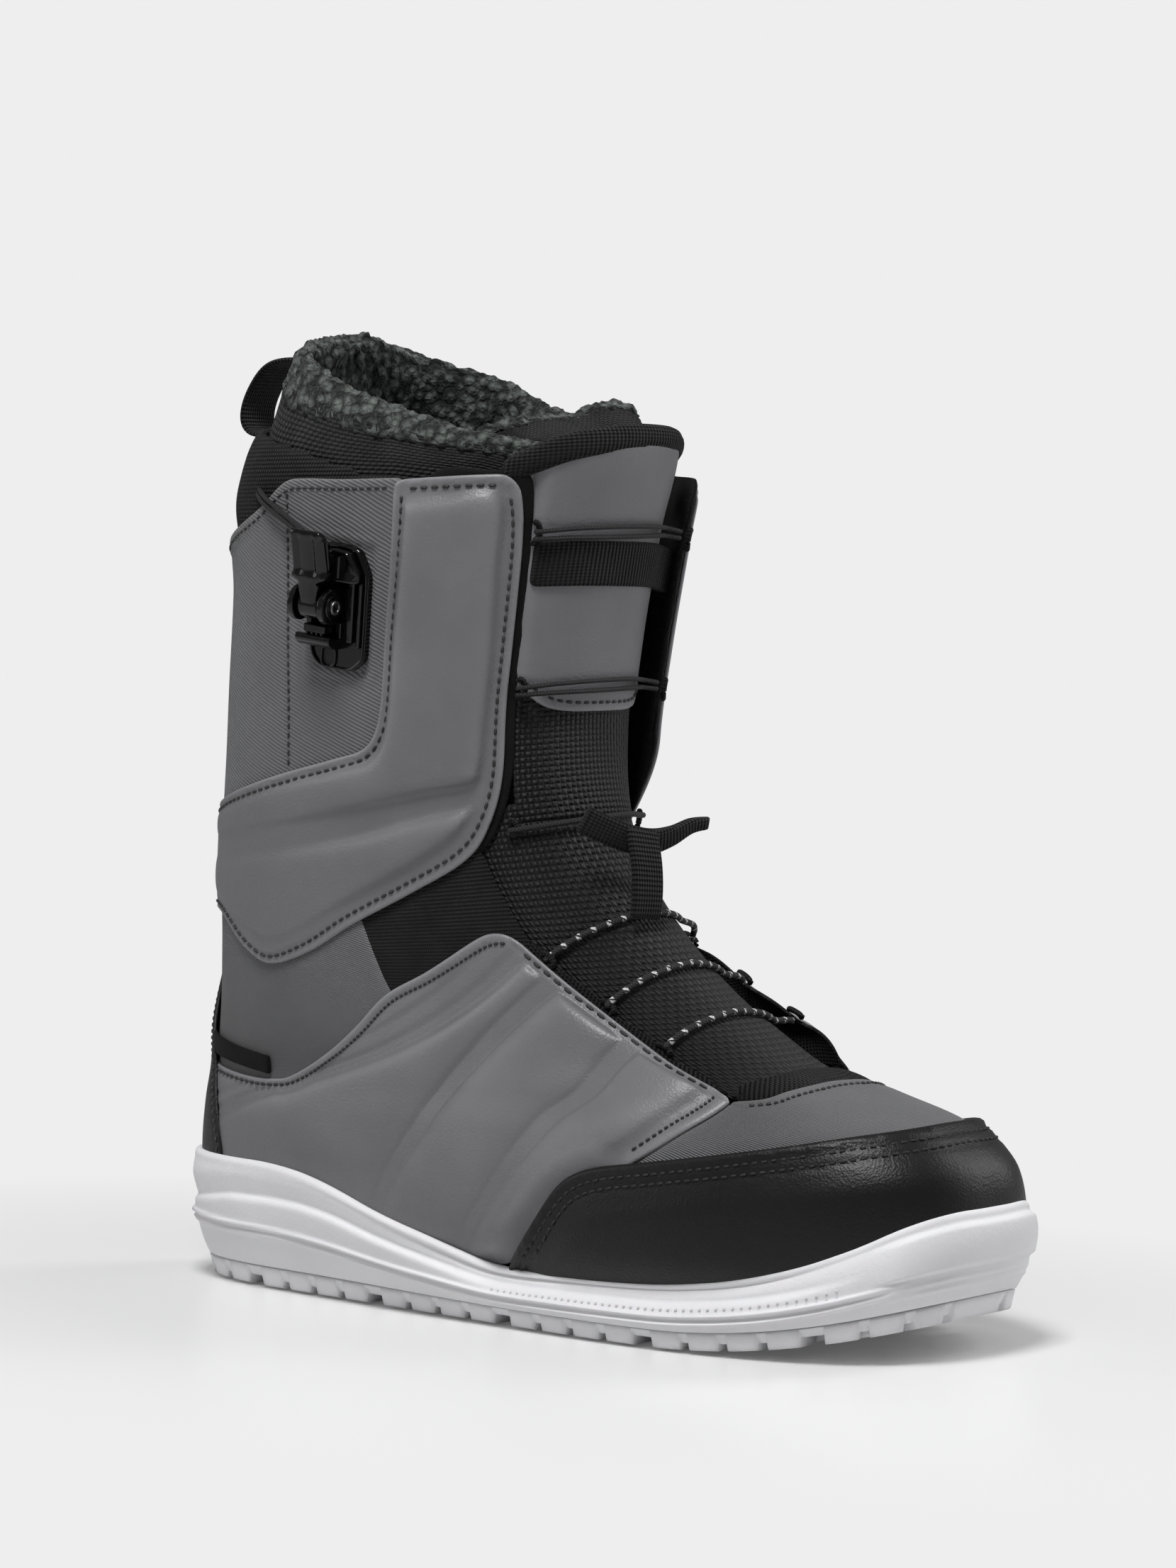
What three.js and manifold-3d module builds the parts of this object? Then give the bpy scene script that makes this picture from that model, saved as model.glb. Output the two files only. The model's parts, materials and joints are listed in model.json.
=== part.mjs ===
// Snowboard boot, right foot. Millimetres, +X to the toe, +Z up, outer (lateral) side at -Y.
// The origin is on the ground, under the ankle. Every piece of the upper is a panel cut from
// one foot-and-shin form, so a piece is given by where its edges run on that form:
//   u = 0 at the front centre line, -1 round the lateral side to the back, +1 round the medial side
//   v = 0 at the sole line, 4 over the toe box, 7 at the ankle, 12 at the top of the shell, 13 at the liner
import * as THREE from 'three';
import { mergeVertices } from 'three/addons/utils/BufferGeometryUtils.js';
import Module from 'manifold-3d';

const wasm = await Module();
wasm.setup();

// ---- driving dimensions ----
// one row per level: back x, back z, front x, front z, half width behind, half width in front,
// roundness (2 is an ellipse), sideways shift of the front
const FORM = [
  [-74, 14, 213, 22, 39, 47, 3.0, 4],
  [-81, 27, 222, 34, 44, 54, 2.9, 4],
  [-82, 44, 222, 52, 45, 54, 2.8, 3],
  [-81, 58, 212, 66, 45, 50, 2.7, 2],
  [-79, 70, 187, 75, 44, 44, 2.6, 1],
  [-77, 83, 153, 85, 44, 40, 2.6, 0],
  [-75, 98, 121, 104, 45, 38, 2.5, 0],
  [-73, 115, 94, 130, 47, 39, 2.4, 0],
  [-71, 134, 79, 156, 49, 43, 2.4, 0],
  [-67, 160, 75, 184, 52, 48, 2.4, 0],
  [-63, 192, 78, 215, 55, 52, 2.4, 0],
  [-59, 225, 84, 248, 58, 55, 2.4, 0],
  [-57, 257, 91, 282, 60, 56, 2.4, 0],
  [-31, 316, 68, 300, 57, 51, 2.4, 0],
];
const SOLE_LINE = { back: -80, front: 220, backHalf: 38, frontHalf: 52, roundness: 3.3, shift: 4 };

const SHELL = { outer: 0, inner: -1.6 };          // leather and twill panels
const MIDDLE = { outer: -2.8, inner: -4.4 };      // tongue, stiffener and lace guides
const COUNTER = { outer: -3, inner: -4 };         // stiff board behind the heel
const LABEL = { outer: 1.5, inner: 0.6 };
const SHIELD = { outer: -0.8, inner: -2.2 };
const BINDING = { outer: -0.6, inner: -2.4 };
const STRAP = { outer: 0.7, inner: -0.3 };
const LINING = { outer: -5.6, inner: -6.6 };
const LINER = { outer: -7.6, inner: -11.6 };      // foam inner boot
const SEAM = 0.10;                                // gap between butted panels, in levels

const CUP_GAP = 1.5;
const TREAD_DEPTH = 3.0;
const TREAD_PLATE = 1.6;
const MIDSOLE_BASE = 5.0;
const SOLE_STANDS_PROUD = 4.5;
const TOE_SPRING = 14;
const TOE_SPRING_START = 135;
const TOE_SPRING_LENGTH = 93;
const HEEL_SPRING = 2;
const HEEL_SPRING_START = -70;
const HEEL_SPRING_LENGTH = 16;
const EDGE_LUGS = { count: 11, first: 0.03, span: 0.94, width: 0.05, reach: 0.5 };
// tread bars across the middle of the sole: back x, length, half width, sideways shift
const TREAD_BARS = [
  [-8, 16, 9, 0],
  [-48, 14, 8, 0],
  [70, 15, 11, 3],
  [110, 15, 11, 3],
  [150, 15, 11, 3],
];

const CORD_RADIUS = 1.0;
const LOCK_AT = { u: -0.468, v: 10.6 };
const LOCK_PLATE = { width: 23, height: 40, corner: 5, below: 1.4, above: 1.2 };
const LOCK_PIN = { y: 1, z: 8.5, radius: 1.5, length: 15.2 };
const LOCK_OFFSET = -3.5;                         // the clamp sits behind the middle of its plate
const LOCK_CLEARANCE = 0.4;
const CHEEK = { starts: [-7, 4.8], width: 2.2, radius: 5.5, lowY: -4.5, highY: 6.5 };
const LOCK_HALF_WIDTH = 7;
const LIP = { lowY: -13, highY: -9.8, height: 8 };
const HOOD = { lowY: 15.5, highY: 18, height: 4 };
const CORD_SLOT = { width: 4, height: 5, corner: 1.9, y: -16, halfDepth: 3 };
const LEVER = { webWidth: 7.6, handleWidth: 14.4, hubRadius: 4.4, handleFrom: 9 };
const JAW = { halfWidth: 4.2, lowY: -8.2, highY: -5.6, lowZ: 1.8, highZ: 8.5 };
const JAW_TEETH = { at: [-2.8, -0.9, 1, 2.9], halfWidth: 0.5, lowY: -8.8, highY: -8, lowZ: 2, highZ: 8 };
const PULL_LOOP = {
  depth: 18, height: 26, corner: 8.5, band: 2, width: 16, lean: 0.35, x: -50, z: 296,
};
const PULLER_STRAP = { halfThick: 1, halfWidth: 5.5, length: 26, lean: -0.25, x: 101, y: -8, z: 127 };
const PULLER_GRIP = { radius: 2.6, length: 48, tilt: -0.1, x: 95.5, y: 1, z: 153 };

const GREY_LEATHER = { color: '#6e6f71', roughness: 0.55, metalness: 0 };
const GREY_TWILL = { color: '#686b6e', roughness: 0.8, metalness: 0 };
const BLACK_LEATHER = { color: '#262426', roughness: 0.45, metalness: 0 };
const BLACK_FABRIC = { color: '#1e1c1b', roughness: 0.9, metalness: 0 };
const WHITE_RUBBER = { color: '#e4e3e8', roughness: 0.7, metalness: 0 };
const FLEECE = { color: '#3e4440', roughness: 1, metalness: 0 };
const BLACK_PLASTIC = { color: '#161616', roughness: 0.35, metalness: 0 };
const STEEL = { color: '#555555', roughness: 0.35, metalness: 1 };
const BOARD = { color: '#b9a98c', roughness: 0.9, metalness: 0 };

// ---- the form ----
const RING_SAMPLES = 180;
const ringCache = new Map();

function catmullRom(a, b, c, d, f) {
  const linear = (c - a) * f;
  const square = (2 * a - 5 * b + 4 * c - d) * f * f;
  const cube = (3 * b - a - 3 * c + d) * f * f * f;
  return (2 * b + linear + square + cube) / 2;
}

function formRow(v) {
  const last = FORM.length - 1;
  const level = Math.min(Math.max(v, 0), last);
  const i = Math.min(Math.floor(level), last - 1);
  const before = FORM[Math.max(i - 1, 0)];
  const after = FORM[Math.min(i + 2, last)];
  return FORM[i].map((value, k) => catmullRom(before[k], value, FORM[i + 1][k], after[k], level - i));
}

// Half of a level's outline, front centre to back centre, with its running length.
function halfRing(row, side) {
  const [backX, backZ, frontX, frontZ, backHalf, frontHalf, roundness, shift] = row;
  const points = [];
  for (let i = 0; i <= RING_SAMPLES; i++) {
    const angle = Math.PI * i / RING_SAMPLES;
    const c = Math.cos(angle);
    const along = (1 - Math.sign(c) * Math.abs(c) ** (2 / roundness)) / 2;
    const blend = THREE.MathUtils.smoothstep(along, 0.2, 0.85);
    const half = (frontHalf + (backHalf - frontHalf) * blend) * Math.abs(Math.sin(angle)) ** (2 / roundness);
    points.push(new THREE.Vector3(
      frontX + (backX - frontX) * along,
      side * half + shift * (1 - along),
      frontZ + (backZ - frontZ) * along,
    ));
  }
  const lengths = [0];
  for (let i = 1; i < points.length; i++) {
    lengths.push(lengths[i - 1] + points[i].distanceTo(points[i - 1]));
  }
  return { points, lengths };
}

function pointOnHalf(ring, t) {
  const target = t * ring.lengths.at(-1);
  let i = 1;
  while (i < ring.lengths.length - 1 && ring.lengths[i] < target) i += 1;
  const f = (target - ring.lengths[i - 1]) / (ring.lengths[i] - ring.lengths[i - 1]);
  return ring.points[i - 1].clone().lerp(ring.points[i], f);
}

function wrap(u) {
  if (u > 1) return u - 2;
  return u < -1 ? u + 2 : u;
}

function onForm(u, v) {
  const side = wrap(u) > 0 ? 1 : -1;
  const key = side * Math.round(v * 1000 + 1);
  if (!ringCache.has(key)) ringCache.set(key, halfRing(formRow(v), side));
  return pointOnHalf(ringCache.get(key), Math.abs(wrap(u)));
}

function outwardAt(u, v) {
  const du = 0.006;
  const dv = 0.03;
  const high = Math.min(v + dv, FORM.length - 1);
  const low = Math.max(v - dv, 0);
  const along = onForm(u + du, v).sub(onForm(u - du, v));
  const up = onForm(u, high).sub(onForm(u, low));
  return along.cross(up).normalize();
}

function at(u, v, offset) {
  return onForm(u, v).addScaledVector(outwardAt(u, v), offset);
}

// A value read from a short table of [|u|, value] by straight lines.
function alongEdge(table, u) {
  const x = Math.abs(wrap(u));
  for (let i = 1; i < table.length; i++) {
    if (x <= table[i][0]) {
      const f = (x - table[i - 1][0]) / (table[i][0] - table[i - 1][0]);
      return table[i - 1][1] + (table[i][1] - table[i - 1][1]) * f;
    }
  }
  return table.at(-1)[1];
}

// ---- solids ----
function geometryOf(points, triangles) {
  const geometry = new THREE.BufferGeometry();
  const coordinates = points.flatMap((p) => p.toArray());
  geometry.setAttribute('position', new THREE.Float32BufferAttribute(coordinates, 3));
  geometry.setIndex(triangles.flat());
  return closed(geometry);
}

// One closed skin with shared corners, faces outwards.
function closed(geometry) {
  const bare = geometry.clone();
  bare.deleteAttribute('normal');
  bare.deleteAttribute('uv');
  const merged = mergeVertices(bare, 1e-3);
  const index = Array.from(merged.index.array);
  const position = merged.attributes.position;
  const a = new THREE.Vector3();
  const b = new THREE.Vector3();
  const c = new THREE.Vector3();
  const kept = [];
  let volume = 0;
  for (let i = 0; i < index.length; i += 3) {
    const [p, q, r] = index.slice(i, i + 3);
    if (p === q || q === r || p === r) continue;
    kept.push(p, q, r);
    a.fromBufferAttribute(position, p);
    b.fromBufferAttribute(position, q);
    c.fromBufferAttribute(position, r);
    volume += a.dot(b.cross(c));
  }
  merged.setIndex(volume < 0 ? kept.reverse() : kept);
  return merged;
}

function toManifold(geometry) {
  const mesh = closed(geometry);
  return new wasm.Manifold(new wasm.Mesh({
    numProp: 3,
    vertProperties: new Float32Array(mesh.attributes.position.array),
    triVerts: new Uint32Array(mesh.index.array),
  }));
}

function fromManifold(manifold) {
  const mesh = manifold.getMesh();
  const geometry = new THREE.BufferGeometry();
  geometry.setAttribute('position', new THREE.BufferAttribute(new Float32Array(mesh.vertProperties), 3));
  geometry.setIndex(new THREE.BufferAttribute(new Uint32Array(mesh.triVerts), 1));
  return geometry;
}

function joined(...geometries) {
  return fromManifold(geometries.map(toManifold).reduce((sum, next) => sum.add(next)));
}

function cut(geometry, ...tools) {
  const whole = toManifold(geometry);
  return fromManifold(tools.map(toManifold).reduce((rest, tool) => rest.subtract(tool), whole));
}

// Two matching grids of points, outer and inner, closed round their edges.
function wall(outer, inner, isRing) {
  const rows = outer.length;
  const columns = outer[0].length;
  const points = [...outer.flat(), ...inner.flat()];
  const layer = rows * columns;
  const id = (j, i, deep) => deep * layer + j * columns + (i % columns);
  const triangles = [];
  const quad = (a, b, c, d) => triangles.push([a, b, c], [a, c, d]);
  const last = isRing ? columns : columns - 1;
  for (let i = 0; i < last; i++) {
    for (let j = 0; j < rows - 1; j++) {
      quad(id(j, i, 0), id(j, i + 1, 0), id(j + 1, i + 1, 0), id(j + 1, i, 0));
      quad(id(j, i, 1), id(j + 1, i, 1), id(j + 1, i + 1, 1), id(j, i + 1, 1));
    }
    quad(id(0, i, 1), id(0, i + 1, 1), id(0, i + 1, 0), id(0, i, 0));
    quad(id(rows - 1, i, 0), id(rows - 1, i + 1, 0), id(rows - 1, i + 1, 1), id(rows - 1, i, 1));
  }
  if (!isRing) {
    for (let j = 0; j < rows - 1; j++) {
      const end = columns - 1;
      quad(id(j, 0, 0), id(j + 1, 0, 0), id(j + 1, 0, 1), id(j, 0, 1));
      quad(id(j, end, 1), id(j + 1, end, 1), id(j + 1, end, 0), id(j, end, 0));
    }
  }
  return geometryOf(points, triangles);
}

// A panel between a lower and an upper edge. Matching corners of the two edges are joined.
function panel(lower, upper, layer, columns = 2, rows = 4) {
  const count = (lower.length - 1) * columns;
  const gridAt = (offset) => {
    const grid = [];
    for (let j = 0; j <= rows; j++) {
      const line = [];
      for (let i = 0; i <= count; i++) {
        const k = Math.min(Math.floor(i / columns), lower.length - 2);
        const f = i / columns - k;
        const mix = (edge, axis) => edge[k][axis] + (edge[k + 1][axis] - edge[k][axis]) * f;
        const rise = j / rows;
        const u = mix(lower, 0) + (mix(upper, 0) - mix(lower, 0)) * rise;
        const v = mix(lower, 1) + (mix(upper, 1) - mix(lower, 1)) * rise;
        line.push(at(u, v, offset));
      }
      grid.push(line);
    }
    return grid;
  };
  return wall(gridAt(layer.outer), gridAt(layer.inner), false);
}

// Stations round the whole form: close together at the toe and the heel.
const TOE_STEPS = 7;
const SIDE_STEPS = 4;
const HEEL_STEPS = 5;
const HALF_STATIONS = [
  ...Array.from({ length: TOE_STEPS }, (_, i) => 0.3 * i / TOE_STEPS),
  ...Array.from({ length: SIDE_STEPS }, (_, i) => 0.3 + 0.45 * i / SIDE_STEPS),
  ...Array.from({ length: HEEL_STEPS }, (_, i) => 0.75 + 0.25 * i / HEEL_STEPS),
];
const STATIONS = [
  -1,
  ...HALF_STATIONS.slice(1).reverse().map((t) => -t),
  0,
  ...HALF_STATIONS.slice(1),
];

// A sleeve right round the form, through the given levels. A level is a function of u.
function sleeve(levels, layer) {
  const gridAt = (offset) => levels.map((level) => STATIONS.map((u) => at(u, level(u), offset)));
  return wall(gridAt(layer.outer), gridAt(layer.inner), true);
}

// Closed rings stacked into one skin, with a floor at each end made of rungs across the ring.
function vessel(rings) {
  const count = rings[0].length;
  const half = count / 2;
  const points = rings.flat();
  const triangles = [];
  for (let k = 0; k < rings.length - 1; k++) {
    for (let i = 0; i < count; i++) {
      const next = (i + 1) % count;
      const a = k * count + i;
      const b = k * count + next;
      triangles.push([a, b, b + count], [a, b + count, a + count]);
    }
  }
  const floor = (base, up) => {
    const rung = (a, b, c) => {
      const corners = up ? [a, b, c] : [a, c, b];
      triangles.push(corners.map((corner) => base + corner));
    };
    rung(0, 1, count - 1);
    for (let i = 1; i < half - 1; i++) {
      rung(i, i + 1, count - i - 1);
      rung(i, count - i - 1, count - i);
    }
    rung(half - 1, half, half + 1);
  };
  floor(0, false);
  floor((rings.length - 1) * count, true);
  return geometryOf(points, triangles);
}

function cord(points, radius, steps) {
  const section = new THREE.Shape();
  section.absarc(0, 0, radius, 0, 2 * Math.PI, false);
  const extrudePath = new THREE.CatmullRomCurve3(points);
  const options = { steps, bevelEnabled: false, curveSegments: 3, extrudePath };
  return new THREE.ExtrudeGeometry(section, options);
}

// A lace that crosses the front at each [level, half width] and turns back at the sides.
function laceRuns(runs, offset, arch) {
  return runs.flatMap(([v, half], i) => {
    const side = i % 2 === 0 ? -1 : 1;
    return [1, 0.5, 0, -0.5, -1].map((k) => at(side * k * half, v + arch * (1 - k * k), offset));
  });
}

// ---- sole ----
const SOLE_EDGE = [
  [0, 1.55], [0.07, 1.56], [0.138, 0.96], [0.219, 0.4], [0.312, 0.05], [0.49, 0.02],
  [0.56, 0.6], [0.64, 1.05], [0.706, 1.5], [0.775, 1.75], [1, 1.8],
];

function riseAt(x) {
  const toe = Math.max(0, x - TOE_SPRING_START) / TOE_SPRING_LENGTH;
  const heel = Math.max(0, HEEL_SPRING_START - x) / HEEL_SPRING_LENGTH;
  return TOE_SPRING * toe * toe + HEEL_SPRING * heel * heel;
}

// A point on the sole's outline, a little inside it, at a height above the curved tread.
function onSole(u, inset, height) {
  const s = SOLE_LINE;
  const row = [
    s.back + inset, 0, s.front - inset, 0, s.backHalf - inset, s.frontHalf - inset, s.roundness, s.shift,
  ];
  const point = pointOnHalf(halfRing(row, u > 0 ? 1 : -1), Math.abs(u));
  point.z = riseAt(point.x) + height;
  return point;
}

function soleSide(fraction, bulge) {
  return STATIONS.map((u) => {
    const foot = onSole(u, 0, MIDSOLE_BASE);
    const top = at(u, alongEdge(SOLE_EDGE, u), SOLE_STANDS_PROUD);
    const outward = outwardAt(u, 1).setZ(0).normalize();
    return foot.lerp(top, fraction).addScaledVector(outward, bulge);
  });
}

// The cup follows the upper with a small gap, from its lip down to the platform.
function midsole() {
  const cupRing = (part) => STATIONS.map((u) => at(u, part * alongEdge(SOLE_EDGE, u), CUP_GAP));
  const cup = [1, 0.75, 0.5, 0.25].map(cupRing);
  const side = [soleSide(0, 0), soleSide(0.2, 2.5), soleSide(0.6, 3), soleSide(1, 0)];
  return vessel([...side, ...cup, sheetRing(0, CUP_GAP, -1.2)]);
}

// One tread block between two stations of the outline, running in towards the middle.
function lug(fromU, toU, reach) {
  const corners = [];
  for (const height of [0, TREAD_DEPTH + TREAD_PLATE / 2]) {
    for (const [u, depth] of [[fromU, 0], [toU, 0], [toU, reach], [fromU, reach]]) {
      const edge = onSole(u, 1, 0);
      edge.y += (SOLE_LINE.shift / 2 - edge.y) * depth;
      edge.z = riseAt(edge.x) + height;
      corners.push(edge);
    }
  }
  return block(corners);
}

function block(p) {
  const sides = [
    [0, 3, 2, 1], [4, 5, 6, 7], [0, 1, 5, 4], [1, 2, 6, 5], [2, 3, 7, 6], [3, 0, 4, 7],
  ];
  return geometryOf(p, sides.flatMap(([a, b, c, d]) => [[a, b, c], [a, c, d]]));
}

function bar(x, length, halfWidth, shift) {
  const corners = [];
  for (const height of [0, TREAD_DEPTH + TREAD_PLATE / 2]) {
    for (const [px, py] of [[0, -1], [length, -1], [length, 1], [0, 1]]) {
      corners.push(new THREE.Vector3(x + px, shift + py * halfWidth, riseAt(x + px) + height));
    }
  }
  return block(corners);
}

function outsole() {
  const plate = vessel([
    STATIONS.map((u) => onSole(u, 1, TREAD_DEPTH)),
    STATIONS.map((u) => onSole(u, 1, TREAD_DEPTH + TREAD_PLATE)),
  ]);
  const { count, first, span, width, reach } = EDGE_LUGS;
  const lugs = [];
  for (let i = 0; i < count; i++) {
    const from = first + span * i / count;
    lugs.push(lug(-from, -from - width, reach));
    lugs.push(lug(from, from + width, reach));
  }
  const bars = TREAD_BARS.map((row) => bar(...row));
  return joined(plate, ...bars, ...lugs);
}

// A ring in from the form at one level, lifted a little above that level's own height.
function sheetRing(v, offset, lift) {
  return STATIONS.map((u) => at(u, v, offset).setZ(onForm(u, v).z + lift));
}

function insoleSheet(v, offset, low, high) {
  return vessel([sheetRing(v, offset, low), sheetRing(v, offset, high)]);
}

const FOOT_LEVELS = [0.9, 1.7, 2.5, 3.1, 3.7, 4.4, 5.3, 6.3];
const LINER_BREAK = 7.4;                          // the liner's upper half starts above the ankle

function linerLower() {
  const ring = (v, offset) => STATIONS.map((u) => at(u, v, offset));
  const outside = FOOT_LEVELS.map((v) => ring(v, LINER.outer));
  const inside = FOOT_LEVELS.slice(1).reverse().map((v) => ring(v, LINER.inner));
  const sole = sheetRing(0.3, LINER.outer - 4, 0);
  const floor = sheetRing(0.75, LINER.inner - 1, 0);
  return vessel([sole, ...outside, ...inside, floor]);
}

// ---- upper edges, given for the lateral side; the medial side is its mirror ----
const RAND_TOP = [
  [-0.478, 0.5], [-0.456, 1.04], [-0.425, 1.72], [-0.38, 2.2], [-0.319, 2.4], [-0.245, 2.62],
  [-0.175, 2.8], [-0.09, 3.03], [0, 3.15],
];
const RAND_FOOT = [
  [-0.485, 0.1], [-0.465, 0.1], [-0.44, 0.1], [-0.39, 0.1], [-0.33, 0.1], [-0.25, 0.1],
  [-0.17, 0.1], [-0.08, 0.1], [0, 0.1],
];
const THROAT = [[-0.152, 4.0], [-0.138, 4.08], [-0.081, 4.36], [0, 4.55]];
const VAMP_FOOT = [[-0.302, 2.55], [-0.175, 2.92], [-0.09, 3.15], [0, 3.27]];
const QUARTER_FOOT = [
  [-0.85, 0.1], [-0.78, 0.1], [-0.72, 0.1], [-0.66, 0.1], [-0.58, 0.1], [-0.497, 0.1],
  [-0.465, 1.1], [-0.41, 2.12], [-0.325, 2.55], [-0.25, 3.3], [-0.168, 4.05],
];
const QUARTER_TOP = [
  [-0.905, 4.1], [-0.825, 3.88], [-0.769, 3.88], [-0.738, 4.04], [-0.656, 4.72], [-0.494, 5.96],
  [-0.40, 6.32], [-0.294, 6.68], [-0.225, 6.72], [-0.172, 5.96], [-0.158, 4.6],
];
const REAR_QUARTER_TOP = [
  [-0.925, 6.9], [-0.83, 6.8], [-0.76, 6.2], [-0.70, 6.05], [-0.60, 6.25], [-0.5, 6.6],
];
const GUSSET_FOOT = [[-0.487, 6.08], [-0.40, 6.42], [-0.294, 6.78], [-0.232, 6.82]];
const GUSSET_TOP = [[-0.487, 6.62], [-0.38, 6.9], [-0.294, 7.1], [-0.225, 7.2]];
const CUFF_OUTER_EDGE = [
  [-0.925, 7.3], [-0.812, 7.3], [-0.731, 6.68], [-0.681, 6.44], [-0.588, 6.64], [-0.488, 7.0],
  [-0.362, 7.36], [-0.256, 7.68], [-0.205, 8.1], [-0.171, 9.0], [-0.169, 10.0], [-0.175, 10.9],
  [-0.19, 11.56],
];
const CUFF_INNER_EDGE = [
  [-0.925, 8.9], [-0.812, 8.9], [-0.731, 8.96], [-0.66, 9.0], [-0.581, 9.04], [-0.52, 9.07],
  [-0.47, 9.1], [-0.412, 9.14], [-0.385, 9.3], [-0.375, 9.7], [-0.375, 10.3], [-0.377, 11.0],
  [-0.380, 11.68],
];
const CUFF_REAR_FOOT = [
  [-0.925, 9.0], [-0.76, 9.04], [-0.60, 9.12], [-0.49, 9.17], [-0.42, 9.25], [-0.39, 9.4],
];
const CUFF_REAR_TOP = [
  [-0.925, 11.55], [-0.80, 11.62], [-0.67, 11.75], [-0.594, 11.98], [-0.48, 11.84], [-0.39, 11.7],
];
const HEEL_COUNTER_FOOT = [[0.74, 0.9], [0.82, 0.9], [0.9, 0.9], [1, 0.9]];
const HEEL_COUNTER_TOP = [[0.78, 3.2], [0.84, 3.8], [0.9, 4.1], [1, 4.2]];
const BACKSTAY_FOOT = [[0.866, 0.1], [0.93, 0.1], [1, 0.1]];
const BACKSTAY_BREAK = [[0.947, 6.9], [0.97, 6.9], [1, 6.9]];
const BACKSTAY_CUFF_FOOT = [[0.937, 7.3], [0.97, 7.3], [1, 7.3]];
const BACKSTAY_TOP = [[0.937, 11.5], [0.97, 11.5], [1, 11.5]];
const COLLAR_FOOT = [[0.58, 12.1], [0.69, 11.88], [0.8, 11.73], [0.9, 11.66], [1, 11.63]];
const COLLAR_TOP = [[0.58, 12.4], [0.69, 12.42], [0.8, 12.43], [0.9, 12.43], [1, 12.43]];
const CUFF_LINING_FOOT = [[0.26, 7.7], [0.5, 7.6], [0.75, 7.6], [1, 7.6]];
const CUFF_LINING_TOP = [[0.26, 11.4], [0.5, 11.5], [0.75, 11.4], [1, 11.3]];
const TONGUE_FOOT = [[-0.12, 4.7], [-0.06, 4.7], [0, 4.7]];
const TONGUE_BREAK = [[-0.16, 6.6], [-0.08, 6.8], [0, 6.9]];
const LOWER_GUIDE_FOOT = [[-0.20, 4.7], [-0.168, 4.7]];
const LOWER_GUIDE_TOP = [[-0.245, 6.4], [-0.205, 6.4]];
const CUFF_GUIDE_FOOT = [[-0.25, 8.0], [-0.19, 8.0]];
const CUFF_GUIDE_TOP = [[-0.23, 11.4], [-0.185, 11.4]];
const SIDE_LABEL_FOOT = [[-0.905, 4.15], [-0.78, 4.05]];
const SIDE_LABEL_TOP = [[-0.905, 4.75], [-0.765, 4.65]];
const LINER_RIM = [
  [0, 12.45], [0.12, 12.3], [0.24, 12.05], [0.4, 12.4], [0.6, 12.75], [0.8, 12.9], [1, 12.95],
];

function mirrored(edge) {
  return edge.map(([u, v]) => [-u, v]).reverse();
}

// An edge that crosses the front centre line, from its lateral half.
function acrossFront(edge) {
  return [...edge, ...mirrored(edge).slice(1)];
}

// An edge that crosses the back centre line, from its medial half, which ends at u = 1.
function acrossBack(edge) {
  const lateral = edge.slice(0, -1).reverse().map(([u, v]) => [2 - u, v]);
  return [...edge, ...lateral];
}

function lowered(edge, by) {
  return edge.map(([u, v]) => [u, v - by]);
}

function lifted(edge, by) {
  return lowered(edge, -by);
}

// ---- lace lock, in its own frame on the cuff: x forward, y up the cuff, z outwards ----
function lockFrame() {
  const out = outwardAt(LOCK_AT.u, LOCK_AT.v);
  const up = onForm(LOCK_AT.u, LOCK_AT.v + 0.1).sub(onForm(LOCK_AT.u, LOCK_AT.v - 0.1));
  up.addScaledVector(out, -up.dot(out)).normalize();
  const forward = up.clone().cross(out);
  const frame = new THREE.Matrix4().makeBasis(forward, up, out);
  return frame.setPosition(onForm(LOCK_AT.u, LOCK_AT.v));
}

const LOCK = lockFrame();

function inLock(geometry) {
  return geometry.applyMatrix4(LOCK);
}

function roundedRectangle(width, height, corner) {
  const w = width / 2;
  const h = height / 2;
  const shape = new THREE.Shape();
  shape.absarc(w - corner, h - corner, corner, 0, Math.PI / 2);
  shape.absarc(-w + corner, h - corner, corner, Math.PI / 2, Math.PI);
  shape.absarc(-w + corner, -h + corner, corner, Math.PI, 1.5 * Math.PI);
  shape.absarc(w - corner, -h + corner, corner, 1.5 * Math.PI, 2 * Math.PI);
  return shape;
}

function plate(width, height, corner, low, high) {
  const shape = roundedRectangle(width, height, corner);
  const options = { depth: high - low, bevelEnabled: false, curveSegments: 3 };
  return new THREE.ExtrudeGeometry(shape, options).translate(0, 0, low);
}

function brick(lowX, highX, lowY, highY, lowZ, highZ) {
  const geometry = new THREE.BoxGeometry(highX - lowX, highY - lowY, highZ - lowZ);
  return geometry.translate((lowX + highX) / 2, (lowY + highY) / 2, (lowZ + highZ) / 2);
}

// A round bar along the lock's pin axis.
function roundAcross(radius, from, to, segments = 14) {
  const geometry = new THREE.CylinderGeometry(radius, radius, to - from, segments).rotateZ(Math.PI / 2);
  return geometry.translate((from + to) / 2, LOCK_PIN.y, LOCK_PIN.z);
}

const PIN_HOLE = LOCK_PIN.radius + LOCK_CLEARANCE;
const PIN_HOLE_REACH = 9;                         // further than the clamp is wide

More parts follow.
